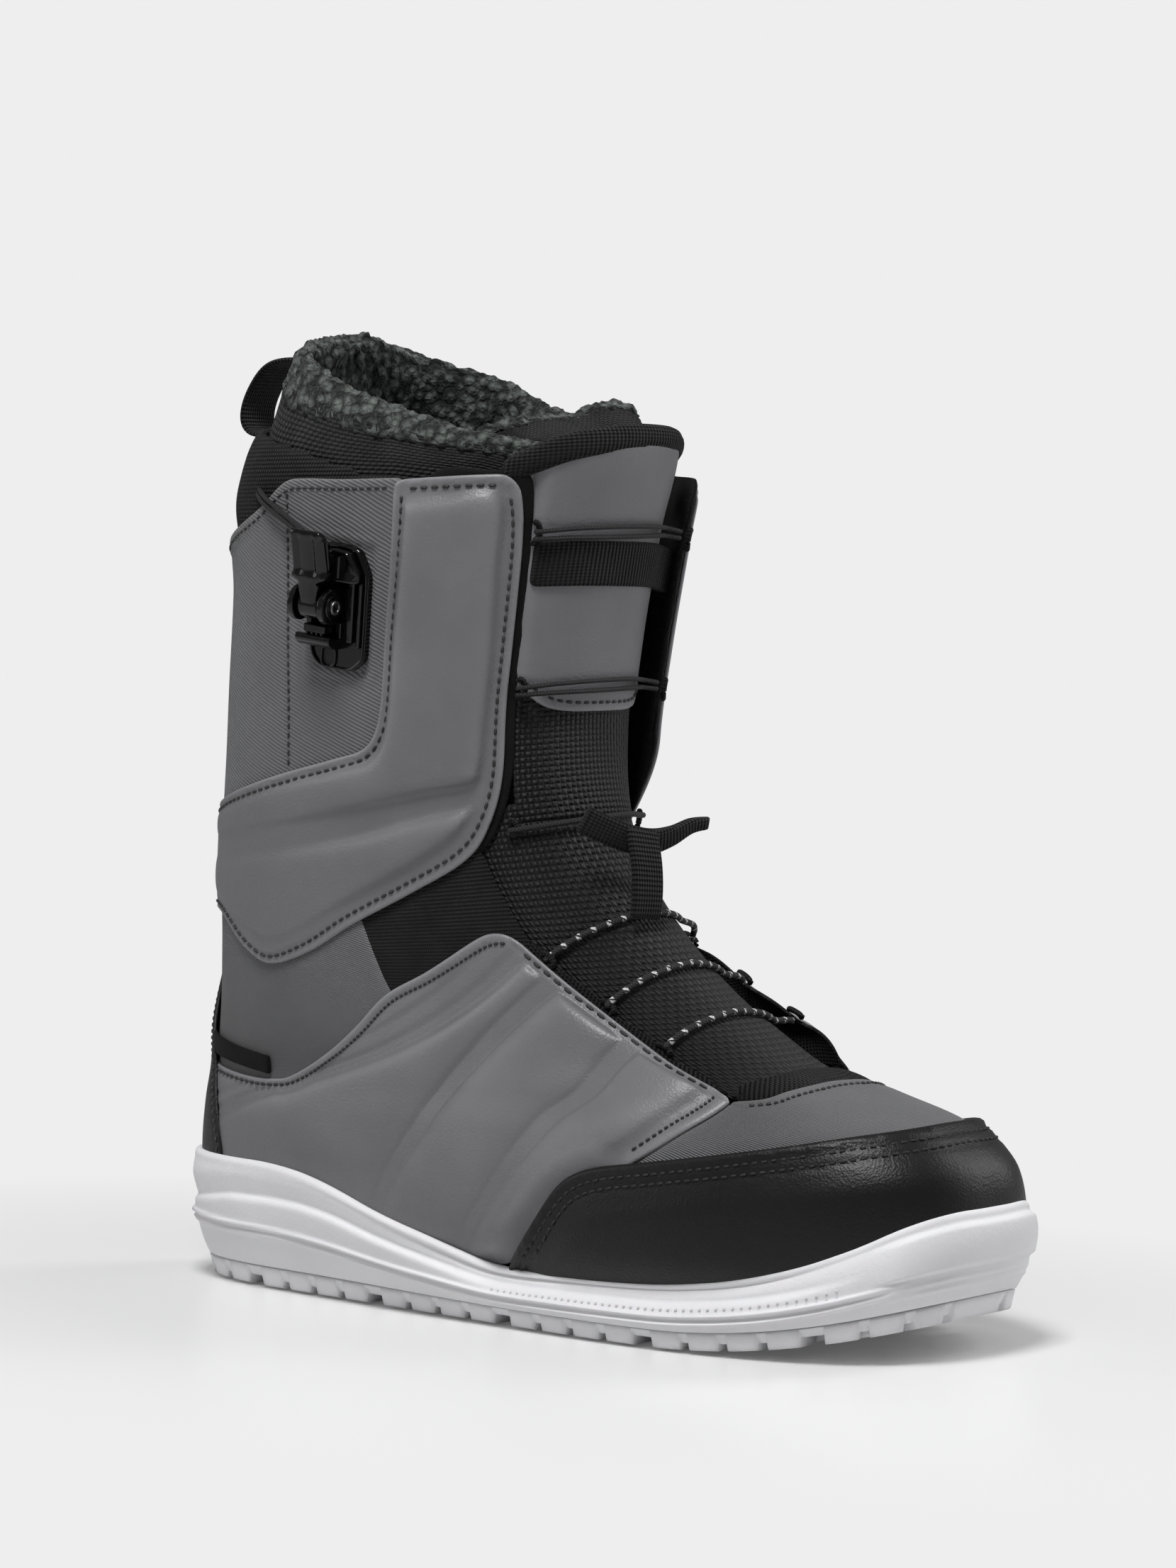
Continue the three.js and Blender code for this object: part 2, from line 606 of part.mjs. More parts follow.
function lockBase() {
  const p = LOCK_PLATE;
  const half = LOCK_HALF_WIDTH;
  const body = plate(p.width, p.height, p.corner, -p.below, p.above);
  const cheeks = CHEEK.starts.map((x) => joined(
    roundAcross(CHEEK.radius, x, x + CHEEK.width, 16),
    brick(x, x + CHEEK.width, CHEEK.lowY, CHEEK.highY, 0, LOCK_PIN.z),
  ));
  const lip = brick(-half, half, LIP.lowY, LIP.highY, 0, LIP.height);
  const hood = brick(-half, half, HOOD.lowY, HOOD.highY, 0, HOOD.height);
  const c = CORD_SLOT;
  const slot = plate(c.width, c.height, c.corner, -c.halfDepth, c.halfDepth).translate(0, c.y, 0);
  const hole = roundAcross(PIN_HOLE, -PIN_HOLE_REACH, PIN_HOLE_REACH);
  const clamp = joined(...cheeks, lip, hood).translate(LOCK_OFFSET, 0, 0);
  const openings = [slot, hole].map((opening) => opening.translate(LOCK_OFFSET, 0, 0));
  return inLock(cut(joined(body, clamp), ...openings));
}

function lockLever() {
  const arm = new THREE.Shape();
  arm.moveTo(-2.5, 6.5);
  arm.lineTo(4, 5.2);
  arm.lineTo(23, 12.5);
  arm.quadraticCurveTo(26.5, 14.5, 24, 17);
  arm.lineTo(8, 13.5);
  arm.lineTo(-1.5, 12);
  arm.closePath();
  const { webWidth, handleWidth, hubRadius, handleFrom } = LEVER;
  const options = { bevelEnabled: false, curveSegments: 3 };
  const web = new THREE.ExtrudeGeometry(arm, { ...options, depth: webWidth });
  const handle = new THREE.ExtrudeGeometry(arm, { ...options, depth: handleWidth });
  // the profile is drawn up the cuff (x) and outwards (y); turn it to lie across the pin
  const stand = new THREE.Matrix4().makeBasis(
    new THREE.Vector3(0, 1, 0), new THREE.Vector3(0, 0, 1), new THREE.Vector3(1, 0, 0),
  );
  web.applyMatrix4(stand).translate(-webWidth / 2, 0, 0);
  handle.applyMatrix4(stand).translate(-handleWidth / 2, 0, 0);
  const reach = PIN_HOLE_REACH;
  const end = brick(-reach, reach, handleFrom, 30, 0, 20);
  const wide = fromManifold(toManifold(handle).intersect(toManifold(end)));
  const hub = roundAcross(hubRadius, -webWidth / 2, webWidth / 2);
  const lever = cut(joined(web, wide, hub), roundAcross(PIN_HOLE, -reach, reach));
  return inLock(lever.translate(LOCK_OFFSET, 0, 0));
}

function lockJaw() {
  const body = brick(-JAW.halfWidth, JAW.halfWidth, JAW.lowY, JAW.highY, JAW.lowZ, JAW.highZ);
  const t = JAW_TEETH;
  const tooth = (x) => brick(x - t.halfWidth, x + t.halfWidth, t.lowY, t.highY, t.lowZ, t.highZ);
  const teeth = t.at.map(tooth);
  return inLock(joined(body, ...teeth).translate(LOCK_OFFSET, 0, 0));
}

// ---- webbing ----
function pullLoop() {
  const { depth, height, corner, band, width, lean, x, z } = PULL_LOOP;
  const section = roundedRectangle(depth, height, corner);
  section.holes.push(roundedRectangle(depth - 2 * band, height - 2 * band, corner - band));
  const options = { depth: width, bevelEnabled: false, curveSegments: 5 };
  const loop = new THREE.ExtrudeGeometry(section, options);
  loop.translate(0, 0, -width / 2).rotateX(Math.PI / 2).rotateY(lean);
  return loop.translate(x, 0, z);
}

function lacePuller() {
  const s = PULLER_STRAP;
  const strap = brick(-s.halfThick, s.halfThick, -s.halfWidth, s.halfWidth, 0, s.length);
  strap.rotateY(s.lean).translate(s.x, s.y, s.z);
  const g = PULLER_GRIP;
  const grip = new THREE.CylinderGeometry(g.radius, g.radius, g.length, 10);
  grip.rotateZ(g.tilt).translate(g.x, g.y, g.z);
  return joined(strap, grip);
}

// ---- assembly ----
const boot = new THREE.Group();

function add(name, geometry, look) {
  const mesh = new THREE.Mesh(closed(geometry), new THREE.MeshStandardMaterial(look));
  mesh.name = name;
  boot.add(mesh);
}

function addPair(name, lower, upper, layer, look, columns, rows) {
  add(`lateral_${name}`, panel(lower, upper, layer, columns, rows), look);
  add(`medial_${name}`, panel(mirrored(lower), mirrored(upper), layer, columns, rows), look);
}

add('outsole', outsole(), WHITE_RUBBER);
add('midsole', midsole(), WHITE_RUBBER);
add('insole_board', insoleSheet(0.05, LINER.outer - 0.2, -0.9, 1.1), BOARD);
add('footbed', insoleSheet(0.9, LINER.inner - 1.8, 0.6, 4.6), BLACK_FABRIC);

add('toe_rand', panel(acrossFront(RAND_FOOT), acrossFront(RAND_TOP), SHELL, 2, 4), BLACK_LEATHER);
add('vamp', panel(acrossFront(VAMP_FOOT), acrossFront(THROAT), SHELL, 3, 3), GREY_TWILL);
addPair('quarter', QUARTER_FOOT, QUARTER_TOP, SHELL, GREY_LEATHER, 2, 5);
addPair('rear_quarter', lifted(QUARTER_TOP.slice(0, 6), SEAM), REAR_QUARTER_TOP, SHELL, GREY_TWILL, 2, 4);
addPair('elastic_gusset', GUSSET_FOOT, GUSSET_TOP, SHELL, BLACK_FABRIC, 2, 2);
add('heel_counter', panel(
  acrossBack(HEEL_COUNTER_FOOT), acrossBack(HEEL_COUNTER_TOP), COUNTER, 3, 4), BOARD);
add('backstay_lower', panel(
  acrossBack(BACKSTAY_FOOT), acrossBack(BACKSTAY_BREAK), SHELL, 2, 6), BLACK_LEATHER);
add('tongue_lower', panel(
  acrossFront(TONGUE_FOOT), acrossFront(TONGUE_BREAK), MIDDLE, 2, 5), BLACK_FABRIC);
addPair('lower_lace_guide', LOWER_GUIDE_FOOT, LOWER_GUIDE_TOP, MIDDLE, BLACK_FABRIC, 2, 4);
add('foot_lining', sleeve([0.3, ...FOOT_LEVELS].map((v) => () => v), LINING), BLACK_FABRIC);
add('liner_lower', linerLower(), BLACK_FABRIC);
add('side_label', panel(SIDE_LABEL_FOOT, SIDE_LABEL_TOP, LABEL, 6, 1), BLACK_LEATHER);

const lowerRuns = [[6.45, 0.15], [5.85, 0.13], [5.2, 0.115]];
add('lower_lace', cord(laceRuns(lowerRuns, 0.8, 0.35), CORD_RADIUS, 36), BLACK_FABRIC);
add('lace_puller', lacePuller(), BLACK_FABRIC);

addPair('cuff', CUFF_OUTER_EDGE, CUFF_INNER_EDGE, SHELL, GREY_LEATHER, 1, 5);
const lockRecess = inLock(
  plate(LOCK_PLATE.width + 1, LOCK_PLATE.height + 1, LOCK_PLATE.corner, -8, 8));
const lateralRear = panel(CUFF_REAR_FOOT, CUFF_REAR_TOP, SHELL, 2, 4);
const medialRear = panel(mirrored(CUFF_REAR_FOOT), mirrored(CUFF_REAR_TOP), SHELL, 2, 4);
add('lateral_cuff_rear', cut(lateralRear, lockRecess), GREY_TWILL);
add('medial_cuff_rear', medialRear, GREY_TWILL);
add('backstay_upper', panel(
  acrossBack(BACKSTAY_CUFF_FOOT), acrossBack(BACKSTAY_TOP), SHELL, 2, 5), BLACK_LEATHER);
add('collar', panel(acrossBack(COLLAR_FOOT), acrossBack(COLLAR_TOP), SHELL, 2, 2), BLACK_FABRIC);
add('cuff_lining', panel(
  acrossBack(CUFF_LINING_FOOT), acrossBack(CUFF_LINING_TOP), LINING, 3, 4), BLACK_FABRIC);
addPair('cuff_lace_guide', CUFF_GUIDE_FOOT, CUFF_GUIDE_TOP, MIDDLE, BLACK_FABRIC, 2, 4);
const rimAt = (u) => alongEdge(LINER_RIM, u);
const linerLevels = [0, 0.25, 0.5, 0.75, 1].map(
  (part) => (u) => LINER_BREAK + (rimAt(u) - 0.24 - LINER_BREAK) * part);
add('liner_upper', sleeve(linerLevels, LINER), BLACK_FABRIC);
const fleeceLevels = [(u) => rimAt(u) - 0.14, (u) => rimAt(u) + 0.04];
const fleeceLayer = { outer: LINER.outer + 2, inner: LINER.inner - 2 };
add('liner_fleece', sleeve(fleeceLevels, fleeceLayer), FLEECE);

add('lock_base', lockBase(), BLACK_PLASTIC);
const pin = roundAcross(LOCK_PIN.radius, -LOCK_PIN.length / 2, LOCK_PIN.length / 2, 12);
add('lock_pin', inLock(pin.translate(LOCK_OFFSET, 0, 0)), STEEL);
add('lock_lever', lockLever(), BLACK_PLASTIC);
add('lock_jaw', lockJaw(), BLACK_PLASTIC);
add('pull_cord', cord(
  [at(-0.53, 11.35, 3.2), at(-0.6, 11.6, 3), at(-0.7, 11.95, 2.6), at(-0.78, 12.2, 2.4)],
  CORD_RADIUS, 10), BLACK_FABRIC);

const TONGUE_SIDE = 0.15;
const across = (v) => [-1, -0.5, 0, 0.5, 1].map((k) => [k * TONGUE_SIDE, v]);
add('tongue_upper', panel(across(7.5), across(11.85), MIDDLE, 2, 7), BLACK_FABRIC);
add('tongue_shield', panel(across(9.3), across(11.7), SHIELD, 2, 4), GREY_LEATHER);
add('tongue_binding', panel(across(11.78), across(11.98), BINDING, 2, 1), BLACK_FABRIC);
add('tongue_strap', panel(across(10.55), across(10.95), STRAP, 2, 1), BLACK_FABRIC);
const upperRuns = [11.05, 9.56, 8.0].map((v) => [v, TONGUE_SIDE]);
add('upper_lace', cord(laceRuns(upperRuns, 2.1, 0), CORD_RADIUS, 40), BLACK_FABRIC);
add('pull_loop', pullLoop(), BLACK_FABRIC);

export default boot;
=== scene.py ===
import json
import math
import bpy
import numpy as np
from mathutils import Matrix, Vector
from mathutils.geometry import delaunay_2d_cdt


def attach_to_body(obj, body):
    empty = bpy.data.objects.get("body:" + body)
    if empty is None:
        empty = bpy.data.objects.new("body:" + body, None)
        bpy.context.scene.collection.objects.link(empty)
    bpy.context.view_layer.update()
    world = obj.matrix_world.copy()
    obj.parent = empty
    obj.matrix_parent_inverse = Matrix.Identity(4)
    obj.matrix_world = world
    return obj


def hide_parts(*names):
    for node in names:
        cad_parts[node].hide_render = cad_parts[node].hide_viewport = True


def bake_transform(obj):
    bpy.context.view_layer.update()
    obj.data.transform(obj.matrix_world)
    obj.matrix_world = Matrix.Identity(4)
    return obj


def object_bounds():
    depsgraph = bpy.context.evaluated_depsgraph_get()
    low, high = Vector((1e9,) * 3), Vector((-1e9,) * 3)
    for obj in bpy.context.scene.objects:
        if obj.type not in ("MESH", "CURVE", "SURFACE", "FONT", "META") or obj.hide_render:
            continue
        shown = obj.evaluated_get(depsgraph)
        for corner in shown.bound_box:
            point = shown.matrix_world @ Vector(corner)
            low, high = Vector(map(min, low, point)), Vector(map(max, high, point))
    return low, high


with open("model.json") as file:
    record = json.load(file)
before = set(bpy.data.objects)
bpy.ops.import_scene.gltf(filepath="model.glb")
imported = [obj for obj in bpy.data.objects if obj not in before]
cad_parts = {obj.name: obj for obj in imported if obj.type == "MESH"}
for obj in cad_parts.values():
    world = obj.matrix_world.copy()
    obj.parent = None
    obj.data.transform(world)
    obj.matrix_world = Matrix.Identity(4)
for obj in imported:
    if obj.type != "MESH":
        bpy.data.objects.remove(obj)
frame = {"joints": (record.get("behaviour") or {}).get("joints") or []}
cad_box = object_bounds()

MM = 0.001
LATERAL, MEDIAL = -1, 1

# one row per level: back x, back z, front x, front z, half width behind, half width in front,
# roundness (2 is an ellipse), sideways shift of the front
FORM = np.array([
    [-74, 14, 213, 22, 39, 47, 3.0, 4],
    [-81, 27, 222, 34, 44, 54, 2.9, 4],
    [-82, 44, 222, 52, 45, 54, 2.8, 3],
    [-81, 58, 212, 66, 45, 50, 2.7, 2],
    [-79, 70, 187, 75, 44, 44, 2.6, 1],
    [-77, 83, 153, 85, 44, 40, 2.6, 0],
    [-75, 98, 121, 104, 45, 38, 2.5, 0],
    [-73, 115, 94, 130, 47, 39, 2.4, 0],
    [-71, 134, 79, 156, 49, 43, 2.4, 0],
    [-67, 160, 75, 184, 52, 48, 2.4, 0],
    [-63, 192, 78, 215, 55, 52, 2.4, 0],
    [-59, 225, 84, 248, 58, 55, 2.4, 0],
    [-57, 257, 91, 282, 60, 56, 2.4, 0],
    [-31, 316, 68, 300, 57, 51, 2.4, 0],
], float)
TOP_LEVEL = len(FORM) - 1
LEVEL_STEPS = 24
HALF_STEPS = 360
ANGLE_STEPS = 500


# ---- the form ----
def catmull_rom(table, level):
    """Rows of a table at any level between them, on a smooth curve."""
    last = len(table) - 1
    level = np.clip(level, 0, last)
    i = np.minimum(level.astype(int), last - 1)
    f = (level - i)[:, None]
    a, b = table[np.maximum(i - 1, 0)], table[i]
    c, d = table[i + 1], table[np.minimum(i + 2, last)]
    return (2 * b + (c - a) * f + (2 * a - 5 * b + 4 * c - d) * f ** 2 + (3 * b - a - 3 * c + d) * f ** 3) / 2


def smoothstep(x, low=0.0, high=1.0):
    t = np.clip((np.asarray(x, float) - low) / (high - low), 0, 1)
    return t * t * (3 - 2 * t)


def unit(vectors):
    """The vectors at length one."""
    return vectors / (np.linalg.norm(vectors, axis=-1, keepdims=True) + 1e-12)


def left_of(run):
    """The flat directions to the left of a run of flat vectors."""
    return unit(np.stack([-run[:, 1], run[:, 0]], -1))


def lengths_along(points):
    """How far along a polyline each of its points lies."""
    return np.r_[0, np.cumsum(np.linalg.norm(np.diff(points, axis=0), axis=1))]


def half_ring(row, side):
    """Half of a level's outline from the front centre to the back, evenly spaced, and its length."""
    back_x, back_z, front_x, front_z, back_half, front_half, roundness, shift = row
    angle = np.linspace(0, np.pi, ANGLE_STEPS + 1)
    c = np.cos(angle)
    along = (1 - np.sign(c) * np.abs(c) ** (2 / roundness)) / 2
    blend = smoothstep(along, 0.2, 0.85)
    half = (front_half + (back_half - front_half) * blend) * np.abs(np.sin(angle)) ** (2 / roundness)
    points = np.stack([
        front_x + (back_x - front_x) * along,
        side * half + shift * (1 - along),
        front_z + (back_z - front_z) * along,
    ], -1)
    lengths = lengths_along(points)
    even = np.linspace(0, lengths[-1], HALF_STEPS + 1)
    return np.stack([np.interp(even, lengths, points[:, k]) for k in range(3)], -1), lengths[-1]


def whole_ring(row):
    """A level's outline for u from -1 to 1, and the length of half of it."""
    left, length = half_ring(row, LATERAL)
    right, _ = half_ring(row, MEDIAL)
    return np.concatenate([left[::-1], right[1:]]), length


class Form:
    """Points and outward directions of the form, looked up on a fine grid."""

    def __init__(self):
        levels = np.linspace(0, TOP_LEVEL, TOP_LEVEL * LEVEL_STEPS + 1)
        rings = [whole_ring(row) for row in catmull_rom(FORM, levels)]
        self.points = np.array([ring for ring, _ in rings])
        self.half_length = np.array([length for _, length in rings])
        self.levels = levels
        padded = np.concatenate([self.points[:, -3:-1], self.points, self.points[:, 1:3]], axis=1)
        along = (padded[:, 4:] - padded[:, :-4])
        up = np.gradient(self.points, axis=0)
        self.outward = unit(np.cross(along, up))
        self.height = lengths_along(self.points[:, HALF_STEPS // 2])

    def lookup(self, grid, u, v):
        u = (np.asarray(u, float) + 1) % 2
        x = np.clip(u / 2, 0, 1) * (grid.shape[1] - 1)
        y = np.clip(np.asarray(v, float) / TOP_LEVEL, 0, 1) * (grid.shape[0] - 1)
        i = np.minimum(x.astype(int), grid.shape[1] - 2)
        j = np.minimum(y.astype(int), grid.shape[0] - 2)
        a, b = (x - i)[..., None], (y - j)[..., None]
        low = grid[j, i] * (1 - a) + grid[j, i + 1] * a
        high = grid[j + 1, i] * (1 - a) + grid[j + 1, i + 1] * a
        return low * (1 - b) + high * b

    def on(self, u, v):
        return self.lookup(self.points, u, v)

    def out(self, u, v):
        return unit(self.lookup(self.outward, u, v))

    def at(self, u, v, offset):
        return self.on(u, v) + self.out(u, v) * np.asarray(offset, float)[..., None]

    def width_at(self, v):
        """Half the outline's length at a level: one unit of u in millimetres."""
        return np.interp(v, self.levels, self.half_length)

    def height_at(self, v):
        return np.interp(v, self.levels, self.height)

    def level_at(self, height):
        return np.interp(height, self.height, self.levels)


form = Form()


# ---- small tools ----
def value_noise(points, size, seed):
    """Smooth noise between -1 and 1 with lumps of the given size in millimetres."""
    rng = np.random.default_rng(seed)
    lattice = rng.uniform(-1, 1, (32, 32, 32))
    p = np.asarray(points, float) / size
    i = np.floor(p).astype(int)
    f = smoothstep(p - i)
    total = np.zeros(p.shape[:-1])
    for corner in range(8):
        step = np.array([corner & 1, corner >> 1 & 1, corner >> 2 & 1])
        weight = np.prod(np.where(step, f, 1 - f), axis=-1)
        k = (i + step) % 32
        total += weight * lattice[k[..., 0], k[..., 1], k[..., 2]]
    return total


def tufts(points, size, seed):
    """Rounded lumps, one to each jittered cell of the given size in millimetres: 1 in the middle of each."""
    rng = np.random.default_rng(seed)
    jitter = rng.uniform(0.15, 0.85, (16, 16, 16, 3))
    p = np.asarray(points, float) / size
    cell = np.floor(p).astype(int)
    best = np.full(len(p), 9.0)
    for k in range(27):
        near = cell + np.array([k % 3 - 1, k // 3 % 3 - 1, k // 9 - 1])
        index = near % 16
        middle = near + jitter[index[:, 0], index[:, 1], index[:, 2]]
        best = np.minimum(best, ((p - middle) ** 2).sum(1))
    return 1 - np.sqrt(best)


def distance_to(points, line):
    """Distance of each point to a polyline, and on which side of it the point lies (left is +1)."""
    line = evenly(np.asarray(line, float), 1.0)
    starts, runs = line[:-1], np.diff(line, axis=0)
    best, side = np.empty(len(points)), np.empty(len(points))
    for low in range(0, len(points), 2000):
        part = points[low:low + 2000]
        gap = ((part[:, None] - line[None]) ** 2).sum(-1)
        near = gap.argmin(1)
        d, s = np.full(len(part), 1e9), np.ones(len(part))
        for k in (np.clip(near - 1, 0, len(runs) - 1), np.clip(near, 0, len(runs) - 1)):
            a, run = starts[k], runs[k]
            t = np.clip(((part - a) * run).sum(1) / ((run ** 2).sum(1) + 1e-12), 0, 1)
            offset = part - (a + t[:, None] * run)
            length = np.hypot(offset[:, 0], offset[:, 1])
            closer = length < d
            d = np.where(closer, length, d)
            s = np.where(closer, np.sign(run[:, 0] * offset[:, 1] - run[:, 1] * offset[:, 0]), s)
        best[low:low + 2000], side[low:low + 2000] = d, s
    return best, side


def spline(points, per_span=8):
    """A smooth curve through the given points."""
    points = np.asarray(points, float)
    if len(points) < 3:
        return points
    level = np.linspace(0, len(points) - 1, (len(points) - 1) * per_span + 1)
    return catmull_rom(points, level)


def evenly(points, spacing):
    """A polyline with its points evenly spaced."""
    lengths = lengths_along(points)
    count = max(2, int(round(lengths[-1] / spacing)) + 1)
    even = np.linspace(0, lengths[-1], count)
    return np.stack([np.interp(even, lengths, points[:, k]) for k in range(points.shape[1])], -1)


def blurred(values, sigma, closed=True):
    """Rounds a loop of evenly spaced points. Sigma is in samples."""
    reach = int(3 * sigma + 1)
    weights = np.exp(-0.5 * (np.arange(-reach, reach + 1) / sigma) ** 2)
    weights /= weights.sum()
    mode = "wrap" if closed else "edge"
    padded = np.pad(values, [(reach, reach)] + [(0, 0)] * (values.ndim - 1), mode=mode)
    return sum(w * padded[k:k + len(values)] for k, w in enumerate(weights))


def inside(points, polygon):
    """Which points lie in a closed polygon."""
    x, y = points[:, 0], points[:, 1]
    hit = np.zeros(len(points), bool)
    for (ax, ay), (bx, by) in zip(polygon, np.roll(polygon, -1, axis=0)):
        spans = (ay > y) != (by > y)
        if abs(by - ay) > 1e-12:
            hit ^= spans & (x < (bx - ax) * (y - ay) / (by - ay) + ax)
    return hit


def mesh_object(name, points, faces, look, uv=None):
    """A smooth mesh from points in millimetres. Its cloth coordinates are in millimetres too."""
    mesh = bpy.data.meshes.new(name)
    mesh.from_pydata((np.asarray(points, float) * MM).tolist(), [], [tuple(map(int, f)) for f in faces])
    if uv is not None:
        layer = mesh.uv_layers.new(name="UVMap")
        corners = np.zeros(len(mesh.loops), int)
        mesh.loops.foreach_get("vertex_index", corners)
        layer.data.foreach_set("uv", (np.asarray(uv, float)[corners] * MM).ravel())
    mesh.materials.append(look)
    mesh.shade_smooth()
    return placed(name, mesh)


def placed(name, data):
    """A new object of the scene that holds the data."""
    thing = bpy.data.objects.new(name, data)
    bpy.context.scene.collection.objects.link(thing)
    return thing


def grid_faces(rows, columns, wrap=False, start=0):
    """Quads between the rows of a grid of points, closed into a tube if it wraps."""
    faces = []
    for j in range(rows - 1):
        for i in range(columns if wrap else columns - 1):
            k = (i + 1) % columns
            faces.append((start + j * columns + i, start + j * columns + k,
                          start + (j + 1) * columns + k, start + (j + 1) * columns + i))
    return faces


def end_faces(stations, sides, start=0):
    """The two faces that close a tube of stacked rings."""
    last = start + (stations - 1) * sides
    return [tuple(start + m for m in reversed(range(sides))), tuple(last + m for m in range(sides))]


def join(name, pieces):
    """One object from several, with their materials kept."""
    for piece in bpy.context.selected_objects:
        piece.select_set(False)
    for piece in pieces:
        piece.select_set(True)
    bpy.context.view_layer.objects.active = pieces[0]
    bpy.ops.object.join()
    pieces[0].name = name
    return pieces[0]


BEVEL_ANGLE = 40


def bevelled(piece, width, segments=3):
    modifier = piece.modifiers.new("bevel", "BEVEL")
    modifier.width = width * MM
    modifier.segments = segments
    modifier.limit_method = "ANGLE"
    modifier.angle_limit = math.radians(BEVEL_ANGLE)
    modifier.harden_normals = False
    return applied(piece)


def applied(piece):
    """The piece with its modifiers made part of its mesh."""
    bpy.context.view_layer.update()
    graph = bpy.context.evaluated_depsgraph_get()
    mesh = bpy.data.meshes.new_from_object(piece.evaluated_get(graph))
    piece.modifiers.clear()
    piece.data = mesh
    return piece


# ---- materials ----
LEG_RADIUS = 0.06            # in metres, for cloth coordinates round the leg


class Look:
    """A procedural material, built node by node."""

    def __init__(self, name, rough=0.5, metal=0.0):
        self.material = bpy.data.materials.new(name)
        self.material.use_nodes = True
        self.tree = self.material.node_tree
        self.surface = self.tree.nodes["Principled BSDF"]
        self.set("Metallic", metal)
        self.set("Roughness", rough)
        self.place = self.tree.nodes.new("ShaderNodeTexCoord")
        self.body = self.place.outputs["Object"]
        self.cloth = self.place.outputs["UV"]

    def put(self, value, socket):
        if isinstance(value, bpy.types.NodeSocket):
            self.tree.links.new(value, socket)
        elif value is not None:
            socket.default_value = value

    def set(self, name, value):
        self.put(value, self.surface.inputs[name])

    def math(self, operation, a, b=None, c=None):
        node = self.tree.nodes.new("ShaderNodeMath")
        node.operation = operation
        for value, socket in zip((a, b, c), node.inputs):
            self.put(value, socket)
        return node.outputs[0]

    def noise(self, size, detail=3.0, rough=0.55, place=None):
        node = self.tree.nodes.new("ShaderNodeTexNoise")
        self.put(place or self.body, node.inputs["Vector"])
        node.inputs["Scale"].default_value = 1 / (size * MM)
        node.inputs["Detail"].default_value = detail
        node.inputs["Roughness"].default_value = rough
        return node.outputs["Fac"]

    def cells(self, size, feature="F1", place=None):
        node = self.tree.nodes.new("ShaderNodeTexVoronoi")
        node.feature = feature
        self.put(place or self.body, node.inputs["Vector"])
        node.inputs["Scale"].default_value = 1 / (size * MM)
        return node.outputs["Distance"]

    def cloth_axes(self):
        node = self.tree.nodes.new("ShaderNodeSeparateXYZ")
        self.put(self.cloth, node.inputs[0])
        return node.outputs[0], node.outputs[1]

    def leg_axes(self):
        """Round the leg and up it, for a piece without cloth coordinates."""
        node = self.tree.nodes.new("ShaderNodeSeparateXYZ")
        self.put(self.body, node.inputs[0])
        turn = self.math("ARCTAN2", node.outputs[1], node.outputs[0])
        return self.math("MULTIPLY", turn, LEG_RADIUS), node.outputs[2]

    def wave(self, value, pitch):
        """A sine along a coordinate in metres, with the pitch in millimetres."""
        return self.math("SINE", self.math("MULTIPLY", value, 2 * math.pi / (pitch * MM)))

    def spread(self, value, low, high, to_low=0.0, to_high=1.0):
        node = self.tree.nodes.new("ShaderNodeMapRange")
        for socket, v in zip(node.inputs, (value, low, high, to_low, to_high)):
            self.put(v, socket)
        return node.outputs[0]

    def colours(self, factor, *stops):
        node = self.tree.nodes.new("ShaderNodeValToRGB")
        ramp = node.color_ramp
        while len(ramp.elements) < len(stops):
            ramp.elements.new(0.5)
        for element, (place, colour) in zip(ramp.elements, stops):
            element.position = place
            element.color = (*colour, 1)
        self.put(factor, node.inputs[0])
        return node.outputs[0]

    def mix(self, factor, a, b, kind="MIX"):
        node = self.tree.nodes.new("ShaderNodeMix")
        node.data_type = "RGBA"
        node.blend_type = kind
        self.put(factor, node.inputs["Factor"])
        for value, socket in ((a, node.inputs[6]), (b, node.inputs[7])):
            self.put((*value, 1) if isinstance(value, tuple) and len(value) == 3 else value, socket)
        return node.outputs[2]

    def drift(self, size, dark, light, stops=(0.3, 0.7), detail=3):
        """A slow noise, and the colour that drifts with it from dark to light."""
        tone = self.noise(size, detail)
        return tone, self.colours(tone, (stops[0], dark), (stops[1], light))

    def edges(self, low=0.50, high=0.56):
        """One where the surface is a sharp ridge."""
        node = self.tree.nodes.new("ShaderNodeNewGeometry")
        return self.spread(node.outputs["Pointiness"], low, high)

    def bump(self, height, depth, below=None):
        node = self.tree.nodes.new("ShaderNodeBump")
        self.put(height, node.inputs["Height"])
        node.inputs["Distance"].default_value = depth * MM
        self.put(below, node.inputs["Normal"])
        self.set("Normal", node.outputs[0])
        return node.outputs[0]


def grey(level, tint=(1, 1, 1)):
    """A linear colour from an sRGB level of 0 to 255."""
    value = level / 255
    linear = value / 12.92 if value < 0.04 else ((value + 0.055) / 1.055) ** 2.4
    return tuple(linear * t for t in tint)


def leather(name, level, tint, pebble, rough, worn, shine=0.45):
    look = Look(name)
    tone, base = look.drift(38, grey(level * 0.94, tint), grey(level * 1.04, tint), detail=4)
    fine = look.noise(0.35, 2)
    creases = look.noise(5.5, 6, 0.7)
    base = look.mix(look.spread(creases, 0.62, 0.8, 0, 0.35), base, grey(level * 1.22, tint))
    base = look.mix(look.math("MULTIPLY", look.edges(), worn), base, grey(level * 1.5 + 12, tint))
    look.set("Base Color", base)
    look.set("Roughness", look.spread(tone, 0.2, 0.8, rough - 0.05, rough + 0.08))
    look.set("Specular IOR Level", shine)
    grain = look.cells(pebble, "SMOOTH_F1")
    under = look.bump(creases, 0.12)
    under = look.bump(grain, 0.10, under)
    look.bump(fine, 0.03, under)
    return look.material


FABRIC_SHINE = 0.12


TWILL_TINT = (0.985, 0.985, 1.04)


